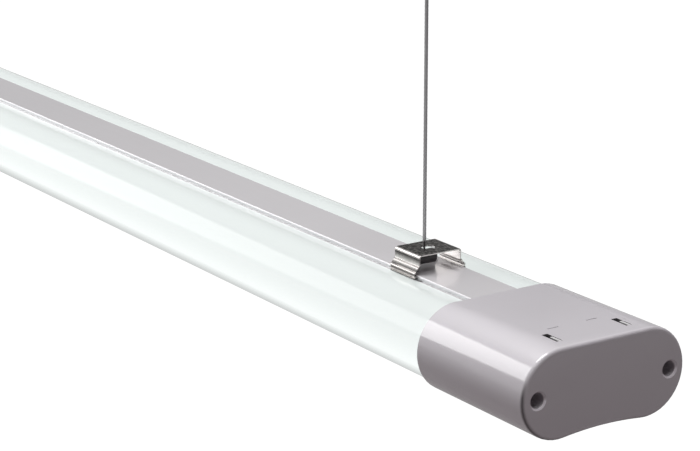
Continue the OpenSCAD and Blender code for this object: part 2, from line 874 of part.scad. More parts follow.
// Three-pole terminal block for the mains cable
module terminal_block() {
  color([0.95, 0.95, 0.93])
  in_light()
  difference() {
    box(
      [block_x - block_len / 2, -block_w / 2, tray_z],
      [block_x + block_len / 2, block_w / 2, tray_z + block_h]
    );
    for (y = lead_rows) {
      translate([0, y, case_hole_z]) rod_x(pole_d, block_x - block_len, block_x + block_len);
      translate([block_x, y, case_hole_z]) cylinder(d = pole_screw_d + 2 * thread_gap, h = block_h);
    }
  }
}

module terminal_screws() {
  color([0.7, 0.7, 0.72])
  in_light()
  for (y = lead_rows)
    translate([block_x, y, tray_z + block_h - pole_screw_h])
      difference() {
        cylinder(d = pole_screw_d, h = pole_screw_h);
        box([-pole_screw_d, -recess_w / 2, pole_screw_h / 2], [pole_screw_d, recess_w / 2, block_h]);
      }
}

// Straight leads from the terminal block into the driver
module mains_leads() {
  color([0.35, 0.25, 0.2])
  in_light()
  for (y = lead_rows)
    translate([0, y, case_hole_z]) rod_x(lead_d, block_x + block_len / 4, driver_rear_x + case_t * 2);
}

// Leads from the driver, over the tray and down through it to each board
module board_leads() {
  reach = driver_front_x - case_t * 2;
  bend = 2 * lead_d;
  turn_r = 0.4 * lead_pass_d;
  low_z = board_z - lead_d;
  color([0.75, 0.2, 0.2])
  in_light()
  for (side = [-1, 1])
    swept_tube(
      [
        [reach, side * output_spacing / 2, case_hole_z],
        [reach + bend, side * output_spacing / 2, case_hole_z],
        [lead_drop_x - bend, side * (lobe_y - bend), case_hole_z],
        [lead_drop_x - bend / 4, side * (lobe_y - bend / 8), case_hole_z - bend / 4],
        [lead_drop_x, side * lobe_y, tray_z],
        for (a = [0, 45, 90])
          [lead_drop_x + turn_r * (1 - cos(a)), side * lobe_y, low_z + turn_r * (1 - sin(a))],
        [socket_x - socket_len / 2, side * lobe_y, low_z]
      ],
      lead_d,
      [0, side, 1 / 3]
    );
}

// Cable gland in the rear cap

module hexagon(af, x0, x1) {
  translate([x0, 0, 0]) rotate([0, 90, 0]) cylinder(d = af / cos(30), h = x1 - x0, $fn = 6);
}

// Threaded body with its flange outside the cap
module gland_body() {
  color([0.6, 0.6, 0.62])
  at_rear()
  difference() {
    union() {
      rod_x(thread_d, -cap_face_t - thread_len, gland_flange_t + outer_thread_len);
      hexagon(hex_af, 0, gland_flange_t);
    }
    rod_x(gland_bore_d, -cap_len, cap_len);
    rod_x(seal_outer_d + 2 * thread_gap, gland_flange_t, cap_len);
  }
}

// Rubber seal between body and nut, bored for the mains cable
seal_outer_d = (gland_bore_d + thread_d) / 2;
seal_x0 = gland_flange_t;
module gland_seal() {
  color([0.2, 0.2, 0.21])
  at_rear()
  difference() {
    rod_x(seal_outer_d, seal_x0, seal_x0 + seal_len);
    rod_x(seal_bore_d, 0, cap_len);
  }
}

module gland_nut() {
  nut_x1 = gland_flange_t + thread_gap + nut_len;
  bore_end = gland_flange_t + max(outer_thread_len, seal_len) + thread_gap;
  color([0.6, 0.6, 0.62])
  at_rear()
  difference() {
    union() {
      hexagon(hex_af, gland_flange_t + thread_gap, nut_x1 - gland_flange_t);
      rod_x(thread_d, gland_flange_t + thread_gap, nut_x1);
    }
    rod_x(thread_d + 2 * thread_gap, 0, bore_end);
    rod_x(gland_bore_d, 0, cap_len);
  }
}

module gland_locknut() {
  color([0.6, 0.6, 0.62])
  at_rear()
  difference() {
    hexagon(hex_af, -cap_face_t - locknut_t, -cap_face_t);
    rod_x(thread_d + 2 * thread_gap, -cap_len, cut);
  }
}

// Clips

// Middle line of the sheet from the plate's edge down one leg, as distance from the middle and height over the rail
clip_line = [
  [clip_w / 2 - clip_t / 2, clip_rise - clip_t / 2],
  [clip_w / 2 - clip_t / 2, leg_flare_z],
  [rail_y + crest_out, crest_z],
  [rail_y + notch_out, notch_z],
  [rail_y + crest_out, low_crest_z],
  [rail_y + hook_out, hook_z],
  [rail_y + foot_out, foot_z]
];
bend_steps = 6;

// The whole line from foot to foot, with the corners beside the plate rounded
bend_line_r = clip_bend_r - clip_t / 2;
clip_bent = concat(
  arc(clip_line[0] - [bend_line_r, bend_line_r], bend_line_r, 90, 0, bend_steps),
  [for (i = [1:len(clip_line) - 1]) clip_line[i]]
);
clip_path = concat([for (i = [len(clip_bent) - 1:-1:0]) [-clip_bent[i][0], clip_bent[i][1]]], clip_bent);
// Offset of a bend line to one side by half the sheet, mitred at its corners
function side_point(p, i, h) =
  let (
    a = unit(p[max(i, 1)] - p[max(i, 1) - 1]),
    b = unit(p[min(i + 1, len(p) - 1)] - p[min(i, len(p) - 2)]),
    na = [a[1], -a[0]],
    nb = [b[1], -b[0]]
  )
  p[i] + h * (na + nb) / (1 + na * nb);

module clip_section() {
  last = len(clip_path) - 1;
  polygon(concat(
    [for (i = [0:last]) side_point(clip_path, i, clip_t / 2)],
    [for (i = [last:-1:0]) side_point(clip_path, i, -clip_t / 2)]
  ));
}

// Spring clip, bent from one strip, that snaps over the rail's edges
module clip(side) {
  color([0.55, 0.53, 0.5])
  at_anchor(side)
  translate([0, wire_offset, light_z + rail_z])
  difference() {
    along_x(-clip_len / 2, clip_len / 2) clip_section();
    cylinder(d = clip_hole_d, h = 2 * clip_rise);
  }
}
module clip_front() {
  clip(1);
}
module clip_rear() {
  clip(-1);
}

// Wires with their end fittings

// Steel rope, from the upper bar down to the neck of the lower bar
module wire(side) {
  color([0.45, 0.46, 0.47])
  translate([side * anchor_x, 0, pivot_z]) swept_tube(wire_route, rope_d, [0, 1, 0]);
}
module wire_front() {
  wire(1);
}
module wire_rear() {
  wire(-1);
}

// Bar across the light with chamfered ends
module cross_bar(d, length) {
  rotate([90, 0, 0]) rotate_extrude()
    polygon([
      [0, -length / 2],
      [d / 2 - bar_chamfer, -length / 2],
      [d / 2, bar_chamfer - length / 2],
      [d / 2, length / 2 - bar_chamfer],
      [d / 2 - bar_chamfer, length / 2],
      [0, length / 2]
    ]);
}

// Lower bar under the clip's plate, with its thin neck up through the hole
module toggle(side) {
  color([0.25, 0.25, 0.26])
  at_anchor(side)
  translate([0, 0, bar_z]) {
    cross_bar(bar_d, bar_len);
    cylinder(d = neck_d, h = neck_len);
  }
}
module toggle_front() {
  toggle(1);
}
module toggle_rear() {
  toggle(-1);
}

// Upper bar, bored from below for the end of the rope
module top_bar(side) {
  color([0.6, 0.6, 0.62])
  translate([side * anchor_x, 0, pivot_z])
  difference() {
    cross_bar(top_bar_d, top_bar_len);
    translate([0, 0, -top_bar_d]) cylinder(d = rope_d + 2 * saddle_gap, h = top_bar_d);
  }
}
module top_bar_front() {
  top_bar(1);
}
module top_bar_rear() {
  top_bar(-1);
}

// Ball saddle: it rolls sideways in the cup, and the upper bar turns in its trough
module saddle(side) {
  trough_d = top_bar_d + 2 * saddle_gap;
  slot_half = rope_d / 2 + 2 * saddle_gap;
  low_half = slot_half / cos(wire_lean) + saddle_d / 2 * tan(wire_lean);
  color([0.7, 0.68, 0.6])
  translate([side * anchor_x, 0, pivot_z])
  difference() {
    intersection() {
      sphere(d = saddle_d);
      box([-saddle_d, -saddle_d, -saddle_d], [saddle_d, saddle_d, saddle_top]);
    }
    rod_y(trough_d, -saddle_d, saddle_d);
    box([-trough_d / 2, -saddle_d, 0], [trough_d / 2, saddle_d, saddle_d]);
    translate([0, slot_half, 0]) rotate([90, 0, 0]) linear_extrude(2 * slot_half)
      polygon([
        [-slot_half / cos(wire_lean), 0],
        [slot_half / cos(wire_lean), 0],
        [low_half, -saddle_d / 2],
        [low_half, -saddle_d],
        [-low_half, -saddle_d],
        [-low_half, -saddle_d / 2]
      ]);
  }
}
module saddle_front() {
  saddle(1);
}
module saddle_rear() {
  saddle(-1);
}

// Ceiling fittings

// Cup with a round seat for the saddle and a flared mouth for the leaning wire
module ceiling_cup(side) {
  seat_d = saddle_d + 2 * saddle_gap;
  mouth_r = sqrt(seat_d * seat_d / 4 - seat_depth * seat_depth);
  lean = acos(cos(wire_lean) * cos(wire_lean));
  foot_r = cup_foot * tan(lean) + rope_d / 2 / cos(lean) + 2 * spigot_gap;
  color([0.75, 0.75, 0.76])
  translate([side * anchor_x, 0, pivot_z])
  difference() {
    translate([0, 0, -cup_foot]) cylinder(d = cup_d, h = cup_foot + pivot_depth - disc_t - spigot_gap);
    cylinder(d = cup_bore_d, h = pivot_depth);
    sphere(d = seat_d);
    translate([0, 0, -cup_foot]) cylinder(r1 = foot_r, r2 = mouth_r, h = cup_foot - seat_depth);
    translate([0, 0, -cup_foot - cut]) cylinder(r = foot_r, h = cut);
  }
}
module ceiling_cup_front() {
  ceiling_cup(1);
}
module ceiling_cup_rear() {
  ceiling_cup(-1);
}

// Disc that is screwed to the ceiling, with the spigot that carries the cup
module ceiling_disc(side) {
  color([0.75, 0.75, 0.76])
  at_anchor(side)
  difference() {
    union() {
      translate([0, 0, -disc_t]) cylinder(d = cup_d, h = disc_t);
      translate([0, 0, -disc_t - spigot_len]) cylinder(d = cup_bore_d - 2 * spigot_gap, h = spigot_len + cut / 2);
    }
    translate([0, 0, -disc_t - spigot_len - cut]) cylinder(d = ceiling_hole_d, h = pivot_depth);
    translate([0, 0, -pivot_depth]) cylinder(d = ceiling_recess_d, h = pivot_depth - ceiling_grip);
  }
}
module ceiling_disc_front() {
  ceiling_disc(1);
}
module ceiling_disc_rear() {
  ceiling_disc(-1);
}

diffuser();
mounting_rail();
gear_tray();
end_cap_front();
end_cap_rear();
end_frame_front();
end_frame_rear();
end_gasket_front();
end_gasket_rear();
cap_screws_front();
cap_screws_rear();
led_board_left();
led_board_right();
led_chips_left();
led_chips_right();
board_sockets();
driver_base();
driver_board();
driver_components();
driver_cover();
terminal_block();
terminal_screws();
mains_leads();
board_leads();
gland_body();
gland_seal();
gland_nut();
gland_locknut();
clip_front();
clip_rear();
wire_front();
wire_rear();
toggle_front();
toggle_rear();
top_bar_front();
top_bar_rear();
saddle_front();
saddle_rear();
ceiling_cup_front();
ceiling_cup_rear();
ceiling_disc_front();
ceiling_disc_rear();
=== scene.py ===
"""Hanging shop light: a slim two-lobed opal tube between grey end caps, hung on two steel ropes.

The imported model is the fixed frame. This add-on dresses it: every piece sits on its body in the row
frame, in metres, and takes a procedural finish.
"""

import math

import bmesh
import bpy
from bpy.props import FloatProperty, FloatVectorProperty, IntProperty, PointerProperty
from mathutils import Matrix, Vector


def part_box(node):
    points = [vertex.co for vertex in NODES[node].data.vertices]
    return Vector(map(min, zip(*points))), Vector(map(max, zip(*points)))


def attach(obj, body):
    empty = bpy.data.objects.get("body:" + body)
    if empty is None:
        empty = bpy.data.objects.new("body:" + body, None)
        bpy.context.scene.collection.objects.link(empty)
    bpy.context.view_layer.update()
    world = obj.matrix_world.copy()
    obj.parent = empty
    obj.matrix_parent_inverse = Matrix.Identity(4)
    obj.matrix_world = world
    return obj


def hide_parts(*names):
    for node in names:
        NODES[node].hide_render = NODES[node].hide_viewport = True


bl_info = {
    "name": "Hanging shop light",
    "version": (1, 0, 0),
    "blender": (4, 5, 0),
    "location": "View3D > Sidebar > Shop light",
    "description": "Dresses the hanging shop light on its packed frame",
    "category": "Object",
}

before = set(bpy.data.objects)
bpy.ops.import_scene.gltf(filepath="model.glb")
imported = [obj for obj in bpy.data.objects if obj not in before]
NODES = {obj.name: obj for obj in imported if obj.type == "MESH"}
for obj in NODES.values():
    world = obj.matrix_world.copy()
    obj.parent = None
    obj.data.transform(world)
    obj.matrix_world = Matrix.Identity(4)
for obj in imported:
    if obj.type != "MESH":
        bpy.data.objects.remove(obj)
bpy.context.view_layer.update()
NEAR_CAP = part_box("end_cap_front")
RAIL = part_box("mounting_rail")
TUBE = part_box("diffuser")
PLATE_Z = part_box("clip_front")[1].z
CAP_Y = (NEAR_CAP[0].y + NEAR_CAP[1].y) / 2
CAP_Z = (NEAR_CAP[0].z + NEAR_CAP[1].z) / 2
RAIL_Y = (RAIL[0].y + RAIL[1].y) / 2
SIDES = ("front", "rear")

# Places and sizes that repeat those of the solids, in metres

# Middle of a lobe beside the light's middle, and the fillet round an end face
LOBE_Y = 0.0244
FACE_FILLET = 0.002
# Screw pockets: middle beside the light's middle, height, radius, radius over the rim
POCKET_Y = 0.0369
POCKET_Z = -0.1771
POCKET_R = 0.00352
POCKET_RIM = 0.0044
# Middles and half sizes of the latch windows and the marks, along and across the light
WINDOW_AT = (0.5867, 0.0195)
WINDOW_REACH = (0.00535, 0.0017)
MARK_AT = (0.576475, 0.01085)
MARK_REACH = (0.00027, 0.00305)
# Depth of the latch noses under the top of the caps
NOSE_DEPTH = 0.0012
# Clip legs: heights of their upper and lower bends over the rail, and their least distance aside
LEG_TOP = 0.0076
LEG_BEND = 0.004
LEG_Y = 0.0118
# Ends of the ropes, in their upper bars and in the toggle bars
ROPE_TOP_Z = -0.0142
ROPE_LOW_Z = -0.144

# How the dressed pieces are made

# Points and slivers of a CAD solid closer than this are made one, and faces that turn less are flat
CAD_WELD = 0.000002
CAD_SLIVER = 0.000001
FLAT_TURN = math.radians(0.4)
# A rounded edge: its faces, the least turn of an edge that gets one, and the weld after it
EDGE_FACES = 2
EDGE_TURN = math.radians(40)
EDGE_WELD = 0.000003
# Rope: points round each strand, rings along it, radius of the valleys and height of the bulges
# as shares of its radius, and the turn that stays crisp
STRAND_POINTS = 6
ROPE_RINGS = 170
STRAND_VALLEY = 0.82
STRAND_BULGE = 0.18
ROPE_CRISP = math.radians(80)

# How the finishes are shaded

# Depth of the grain
GRAIN_DEPTH = 0.00004
# Levels of noise between which a rubbed spot sets in, and how much finer than the clouds it is
RUBBED_NOISE = (0.56, 0.72)
RUBBED_FINER = 2.5
# Contrast of drawn lines, and the roughness that they add
LINE_CONTRAST = 0.35
LINE_ROUGHNESS = 0.12
# Tube: the glow is full up to the first height over its underside and least above the second
# distance below its top, where the given share of it is left
GLOW_FULL_TO = 0.012
GLOW_LEAST_FROM = 0.001
GLOW_LEAST = 0.335
GLOW_STRENGTH = 0.86
# Tube's outlines: heights over its underside, the facing at which the shade starts at each of
# them, and the colour left at the very outline
OUTLINE_HEIGHTS = (0.006, 0.024)
OUTLINE_STARTS = (0.56, 0.88)
OUTLINE_LEAST = 0.38
# Screw pockets: width of the edge of the painted shade, colour left inside by the painted shade,
# colour that the painted highlight adds on the lower half of the rim, and the height over which
# that highlight fades
POCKET_EDGE = 0.0002
POCKET_SHADE_LEAST = 0.9
POCKET_RIM_HIGHLIGHT = 0.65
POCKET_RIM_FADE = 0.001
# Windows and marks: depth at which they count as sunk, and the colour that painted shade takes
# away there
SUNK_DEPTH = 0.00015
SUNK_SHADE_LOSS = 0.75
# Rounding round an end face: how far before the fillet it starts, the skin at the face that it
# leaves out, and the coat that it loses
ROUNDING_START = 0.0002
ROUNDING_SKIN = 0.00005
ROUNDING_COAT_LOSS = 0.85
# Painted shade on the lower rim: weights of the distances outwards and down from a lobe's middle,
# their weighted sum where the painted shade starts and where it is full, and the colour that it
# takes away
RIM_OUT = 0.6
RIM_DOWN = 0.8
RIM_REACH = (0.003, 0.0105)
RIM_SHADE_LOSS = 0.7
# Near clip legs: colour lost to painted shade under the upper bend, on the flared foot and in the
# ridges' valleys
LEG_SHADE_LOSS = 0.95
FOOT_SHADE_LOSS = 0.1
VALLEY_SHADE_LOSS = 0.75
# Ridges rolled into the feet: pitch and height
RIDGE_PITCH = 0.002
RIDGE_HEIGHT = 0.0003
# Clip plates: a mottled painted shade on their top: depths under the top where it ends and where
# it is full, its grain, its contrast and offset, and the most colour that it takes away
PLATE_SHADE_DEPTHS = (0.0002, 0.00005)
PLATE_SHADE_SCALE = 650.0
PLATE_SHADE_CONTRAST = 2.6
PLATE_SHADE_OFFSET = -0.7
PLATE_SHADE_LOSS = 0.85
# Painted shade on a clip's mirror images: the colour that it loses in them
MIRROR_SHADE_LOSS = 0.25
# Colour left by the painted shade on the end frames below the latch noses
FRAME_SHADE_LEAST = 0.15

# Stage

# Floor: half its side, its glow to the camera and to gloss, and the share of that glow
FLOOR_REACH = 20.0
FLOOR_GLOW = 1.25
FLOOR_GLOSS_GLOW = 0.38
FLOOR_GLOW_SHARE = 0.82
# Lamps: name, place, aim, width, height, power and the direction of the height
LAMPS = (
    ("Key lamp", (-0.5, -0.35, 3.3), (0.1, 0, -0.17), 2.4, 1.6, 115, (0, 1, 0)),
    ("Band lamp", (-1.38, -1.25, 0.86), (0.57, 0, -0.17), 1.8, 1.25, 21, (0, 0.61, 0.79)),
    ("Front lamp", (1.5, -0.3, 3.0), (0.55, 0, -0.17), 1.0, 1.0, 24, (0, 1, 0)),
)
# Greys that gloss meets in the surroundings: nought is straight down and one straight up
ROOM_GREYS = ((0.49, 0.5), (0.55, 0.3), (0.61, 0.09), (0.72, 0.09), (0.8, 0.3), (1.0, 0.6))
# Direction in which gloss meets a dark room, to the right of the view; how far a direction leans
# that way where the room starts and where it is darkest; and the light left there
DARK_SIDE = (0.651, 0.759, 0)
DARK_LEAN = (0.2, 0.6)
DARK_LEAST = 0.2


def setting(name, text, value, low, high):
    """One length that can be changed in the sidebar."""
    return FloatProperty(
        name=name, description=text, default=value, min=low, max=high, unit="LENGTH", precision=5
    )


def tint(name, text, value):
    """One colour that can be changed in the sidebar."""
    return FloatVectorProperty(
        name=name, description=text, default=value, size=3, subtype="COLOR", min=0, max=1
    )


class ShopLightSizes(bpy.types.PropertyGroup):
    """Sizes of the fine shapes that the dressed pieces add"""

    rope_diameter: setting("Rope diameter", "Diameter of the steel rope", 0.0018, 0.001, 0.002)
    rope_lay: setting("Rope lay", "Length of one turn of the strands", 0.0115, 0.006, 0.014)
    rope_strands: IntProperty(
        name="Strands", description="Strands in the rope", default=6, min=3, max=8
    )
    cap_edge: setting("Cap edge", "Rounding of the end caps' edges", 0.00025, 0, 0.0006)
    rail_edge: setting("Rail edge", "Rounding of the rail's edges", 0.00012, 0, 0.0003)
    clip_edge: setting("Clip edge", "Rounding of the clips' edges", 0.00012, 0, 0.0002)
    metal_edge: setting("Fitting edge", "Rounding of the small fittings", 0.0002, 0, 0.0004)
    sharp_angle: FloatProperty(
        name="Sharp angle",
        description="Edges that turn by more than this stay crisp",
        default=math.radians(32),
        min=0,
        max=math.radians(60),
        subtype="ANGLE",
    )


class ShopLightColours(bpy.types.PropertyGroup):
    """Colours of the finishes"""

    cap: tint("End caps", "Grey moulded plastic of the end caps", (0.61, 0.59, 0.62))
    tube: tint("Tube", "Opal plastic of the tube", (0.46, 0.492, 0.483))
    tube_glow: tint("Tube glow", "Light that the opal wall passes on", (0.93, 0.985, 0.97))
    rail: tint("Rail", "Anodised aluminium of the rail", (0.8, 0.785, 0.805))
    clip: tint("Clips", "Bright spring steel", (0.8, 0.765, 0.745))
    rope: tint("Ropes", "Galvanised steel rope", (0.6, 0.6, 0.61))
    bar: tint("Toggle bars", "Dark coated bars", (0.06, 0.057, 0.058))
    fitting: tint("Ceiling fittings", "Satin nickel", (0.6, 0.59, 0.57))
    saddle: tint("Saddles", "Turned brass", (0.7, 0.5, 0.24))
    gland: tint("Cable entry", "Grey plastic of the cable entry", (0.2, 0.2, 0.21))


class ShopLightView(bpy.types.PropertyGroup):
    """Camera and floor"""

    camera_along: setting("Camera along", "Camera beyond the near end face", 0.6984, 0, 5)
    camera_aside: setting("Camera aside", "Camera to the side of the light", 0.5991, 0, 5)
    camera_above: setting("Camera above", "Camera above the rail", 0.3123, 0, 5)
    camera_heading: FloatProperty(
        name="Heading",
        description="Turn of the view away from the light's length",
        default=math.radians(33.72),
        subtype="ANGLE",
    )
    camera_dip: FloatProperty(
        name="Dip",
        description="Downward tilt of the view",
        default=math.radians(15.94),
        subtype="ANGLE",
    )
    lens: FloatProperty(name="Lens", description="Focal length", default=115.15, unit="CAMERA")
    floor_drop: setting("Floor", "Height of the ceiling over the floor", 1.6, 0.5, 4)


# Shared effects: node groups that each finish places with its own values


def socket(tree, name, kind, value=None, side="INPUT"):
    """A named input or output on a node group."""
    made = tree.interface.new_socket(name=name, in_out=side, socket_type="NodeSocket" + kind)
    if value is not None:
        made.default_value = value
    return made


def node(tree, kind, *links, **values):
    """A node with its properties set and its inputs linked or given values, in order."""
    made = tree.nodes.new("ShaderNode" + kind)
    for key, value in values.items():
        setattr(made, key, value)
    for place, source in links:
        target = made.inputs[place]
        if isinstance(source, bpy.types.NodeSocket):
            tree.links.new(source, target)
        else:
            target.default_value = source
    return made


def maths(tree, operation, a, b=None, c=None, clamp=False):
    """One step of arithmetic; returns its output."""
    values = [(i, v) for i, v in enumerate((a, b, c)) if v is not None]
    return node(tree, "Math", *values, operation=operation, use_clamp=clamp).outputs[0]


def ramp(tree, value, reach, result, smooth=False):
    """Carries a value over from one range to another; returns its output."""
    return node(
        tree,
        "MapRange",
        ("Value", value),
        ("From Min", reach[0]),
        ("From Max", reach[1]),
        ("To Min", result[0]),
        ("To Max", result[1]),
        interpolation_type="SMOOTHSTEP" if smooth else "LINEAR",
    ).outputs[0]


def place_on(tree):
    """X, Y and Z of the shaded point in the row frame."""
    return node(tree, "SeparateXYZ", (0, node(tree, "TexCoord").outputs["Object"])).outputs


def lessened(tree, share, loss):
    """One where the share is nought, falling by the loss where it is one."""
    return maths(tree, "MULTIPLY_ADD", share, -loss, 1.0)


def start_group(name, inputs, outputs):
    """A node group with its sockets, its input node and its output node."""
    tree = bpy.data.node_groups.new(name, "ShaderNodeTree")
    for label, kind, value in inputs:
        socket(tree, label, kind, value)
    for label, kind in outputs:
        socket(tree, label, kind, side="OUTPUT")
    return tree, tree.nodes.new("NodeGroupInput").outputs, tree.nodes.new("NodeGroupOutput").inputs


def moulded_grain():
    """Fine grain with faint clouds: colour, roughness and height of a worked surface."""
    tree, given, out = start_group(
        "Moulded grain",
        [
            ("Colour", "Color", (0.5, 0.5, 0.5, 1)),
            ("Clouding", "Float", 0.04),
            ("Cloud scale", "Float", 30.0),
            ("Grain scale", "Float", 2500.0),
            ("Grain tint", "Float", 0.03),
            ("Roughness", "Float", 0.5),
            ("Roughness spread", "Float", 0.08),
        ],
        [("Colour", "Color"), ("Roughness", "Float"), ("Height", "Float")],
    )
    place = node(tree, "TexCoord").outputs["Object"]
    grain = node(
        tree, "TexNoise", ("Vector", place), ("Scale", given["Grain scale"]), ("Detail", 3.0)
    ).outputs[0]
    cloud = node(
        tree,
        "TexNoise",
        ("Vector", place),
        ("Scale", given["Cloud scale"]),
        ("Detail", 5.0),
        ("Roughness", 0.62),
        ("Distortion", 0.4),
    ).outputs[0]
    cloud_swing = maths(tree, "MULTIPLY", maths(tree, "SUBTRACT", cloud, 0.5), given["Clouding"])
    grain_swing = maths(tree, "MULTIPLY", maths(tree, "SUBTRACT", grain, 0.5), given["Grain tint"])
    shade = maths(tree, "ADD", maths(tree, "ADD", cloud_swing, grain_swing), 1.0)
    scaled = node(tree, "VectorMath", (0, given["Colour"]), (3, shade), operation="SCALE")
    tree.links.new(scaled.outputs[0], out["Colour"])
    swing = maths(
        tree, "MULTIPLY", maths(tree, "SUBTRACT", cloud, 0.5), given["Roughness spread"]
    )
    tree.links.new(maths(tree, "ADD", given["Roughness"], swing, clamp=True), out["Roughness"])
    tree.links.new(grain, out["Height"])
    return tree


def drawn_lines():
    """Fine lines drawn along one direction, as rolling, extruding or brushing leaves them."""
    tree, given, out = start_group(
        "Drawn lines",
        [("Scale", "Vector", (4.0, 1500.0, 1500.0)), ("Contrast", "Float", 0.5)],
        [("Mask", "Float"), ("Height", "Float")],
    )
    place = node(tree, "TexCoord").outputs["Object"]
    run = node(tree, "VectorMath", (0, place), (1, given["Scale"]), operation="MULTIPLY")
    lines = node(
        tree, "TexNoise", ("Vector", run.outputs[0]), ("Scale", 1.0), ("Detail", 4.0)
    ).outputs[0]
    swing = maths(tree, "MULTIPLY", maths(tree, "SUBTRACT", lines, 0.5), given["Contrast"])
    tree.links.new(maths(tree, "ADD", swing, 0.5, clamp=True), out["Mask"])
    tree.links.new(lines, out["Height"])
    return tree


def handling_marks():
    """Sparse spots where hands and tools have rubbed the surface."""
    tree, given, out = start_group(
        "Handling marks",
        [("Scale", "Float", 60.0), ("Amount", "Float", 0.3)],
        [("Mask", "Float")],
    )
    place = node(tree, "TexCoord").outputs["Object"]
    spots = node(
        tree, "TexNoise", ("Vector", place), ("Scale", given["Scale"]), ("Detail", 6.0)
    ).outputs[0]
    rubbed = ramp(tree, spots, RUBBED_NOISE, (0.0, 1.0))
    tree.links.new(maths(tree, "MULTIPLY", rubbed, given["Amount"]), out["Mask"])
    return tree


# Shared effects that are already built
GROUPS = {}


def effect(tree, name, **values):
    """Places a shared effect in a material with its own values."""
    builders = {"grain": moulded_grain, "lines": drawn_lines, "marks": handling_marks}
    if name not in GROUPS:
        GROUPS[name] = builders[name]()
    made = tree.nodes.new("ShaderNodeGroup")
    made.node_tree = GROUPS[name]
    for key, value in values.items():
        made.inputs[key.replace("_", " ")].default_value = value
    return made.outputs


def surface(name, colour, roughness, metallic=0.0, ior=1.5, grain=2500.0, bump=0.08,
            clouding=0.05, cloud=30.0, grain_tint=0.03, spread=0.1, marks=0.0, lines=None,
            line_depth=0.00001, coat=0.0, coat_roughness=0.15, coat_ior=1.5):
    """A finish: one Principled shader fed by the grain, the drawn lines and the handling marks."""
    made = bpy.data.materials.new(name)
    made.use_nodes = True
    tree = made.node_tree
    shader = tree.nodes["Principled BSDF"]
    shader.inputs["Metallic"].default_value = metallic
    shader.inputs["IOR"].default_value = ior
    shader.inputs["Coat Weight"].default_value = coat
    shader.inputs["Coat Roughness"].default_value = coat_roughness
    shader.inputs["Coat IOR"].default_value = coat_ior
    base = effect(
        tree,
        "grain",
        Colour=(*colour, 1),
        Clouding=clouding,
        Cloud_scale=cloud,
        Grain_scale=grain,
        Grain_tint=grain_tint,
        Roughness=roughness,
        Roughness_spread=spread,
    )
    colour_out, rough_out = base["Colour"], base["Roughness"]
    if marks:
        rubbed = effect(tree, "marks", Scale=cloud * RUBBED_FINER, Amount=marks)["Mask"]
        rough_out = maths(tree, "ADD", rough_out, rubbed, clamp=True)
    bumped = node(
        tree, "Bump", ("Strength", bump), ("Distance", GRAIN_DEPTH), ("Height", base["Height"])
    ).outputs[0]
    if lines:
        drawn = effect(tree, "lines", Scale=lines, Contrast=LINE_CONTRAST)
        added = maths(tree, "MULTIPLY", drawn["Mask"], LINE_ROUGHNESS)
        rough_out = maths(tree, "ADD", rough_out, added, clamp=True)
        bumped = node(
            tree,
            "Bump",
            ("Strength", 0.5),
            ("Distance", line_depth),
            ("Height", drawn["Height"]),
            ("Normal", bumped),
        ).outputs[0]
    tree.links.new(colour_out, shader.inputs["Base Color"])
    tree.links.new(rough_out, shader.inputs["Roughness"])
    tree.links.new(bumped, shader.inputs["Normal"])
    return made


def shade_colour(finish, shade):
    """Multiplies the colour of a finish by painted shade and highlight that change over the surface.
    """
    tree = finish.node_tree
    target = tree.nodes["Principled BSDF"].inputs["Base Color"]
    shaded = node(
        tree, "VectorMath", (0, target.links[0].from_socket), (3, shade), operation="SCALE"
    )
    tree.links.new(shaded.outputs[0], target)


def opal_plastic(colour, glow):
    """Glossy opal plastic whose wall glows, most along its lower half, and dims at its outlines."""
    made = surface("Opal tube", colour, 0.16, ior=1.3, grain=900.0, bump=0.01, clouding=0.012,
                   cloud=6.0, grain_tint=0.006, spread=0.05)
    tree = made.node_tree
    shader = tree.nodes["Principled BSDF"]
    height = place_on(tree)["Z"]
    low, high = TUBE[0].z, TUBE[1].z
    share = ramp(
        tree,
        height,
        (low + GLOW_FULL_TO, high - GLOW_LEAST_FROM),
        (1.0, GLOW_LEAST),
        smooth=True,
    )
    start = ramp(tree, height, [low + rise for rise in OUTLINE_HEIGHTS], OUTLINE_STARTS)
    facing = node(tree, "LayerWeight", ("Blend", 0.5)).outputs["Facing"]
    outline = ramp(tree, facing, (start, 1.0), (1.0, OUTLINE_LEAST))
    share = maths(tree, "MULTIPLY", share, outline)
    lit = node(tree, "VectorMath", (0, glow), (3, share), operation="SCALE").outputs[0]
    shade_colour(made, outline)
    tree.links.new(lit, shader.inputs["Emission Color"])
    shader.inputs["Emission Strength"].default_value = GLOW_STRENGTH
    return made


def zinc(name):
    """Dull zinc plating, cloudy and rubbed in spots."""
    return surface(name, (0.42, 0.42, 0.44), 0.3, metallic=1.0, grain=5200.0, bump=0.08,
                   clouding=0.2, cloud=400.0, spread=0.2, marks=0.1)


# Dressed copies of the CAD solids


def merged(cad):
    """A welded bmesh of a CAD node, without the edges that cross its flat faces."""
    shape = bmesh.new()
    shape.from_mesh(NODES[cad].data)
    bmesh.ops.remove_doubles(shape, verts=shape.verts, dist=CAD_WELD)
    bmesh.ops.dissolve_degenerate(shape, dist=CAD_SLIVER, edges=shape.edges)
    bmesh.ops.dissolve_limit(
        shape,
        angle_limit=FLAT_TURN,
        use_dissolve_boundaries=False,
        verts=shape.verts,
        edges=shape.edges,
    )
    return shape


def to_piece(name, shape, material, body, sharp):
    """A bmesh made a smooth-shaded object at the origin that rides on its body."""
    mesh = bpy.data.meshes.new(name)
    for face in shape.faces:
        face.smooth = True
    shape.to_mesh(mesh)
    shape.free()
    if "custom_normal" in mesh.attributes:
        mesh.attributes.remove(mesh.attributes["custom_normal"])
    mesh.set_sharp_from_angle(angle=sharp)
    mesh.materials.clear()
    mesh.materials.append(material)
    piece = bpy.data.objects.new(name, mesh)
    bpy.context.scene.collection.objects.link(piece)
    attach(piece, body)
    return piece


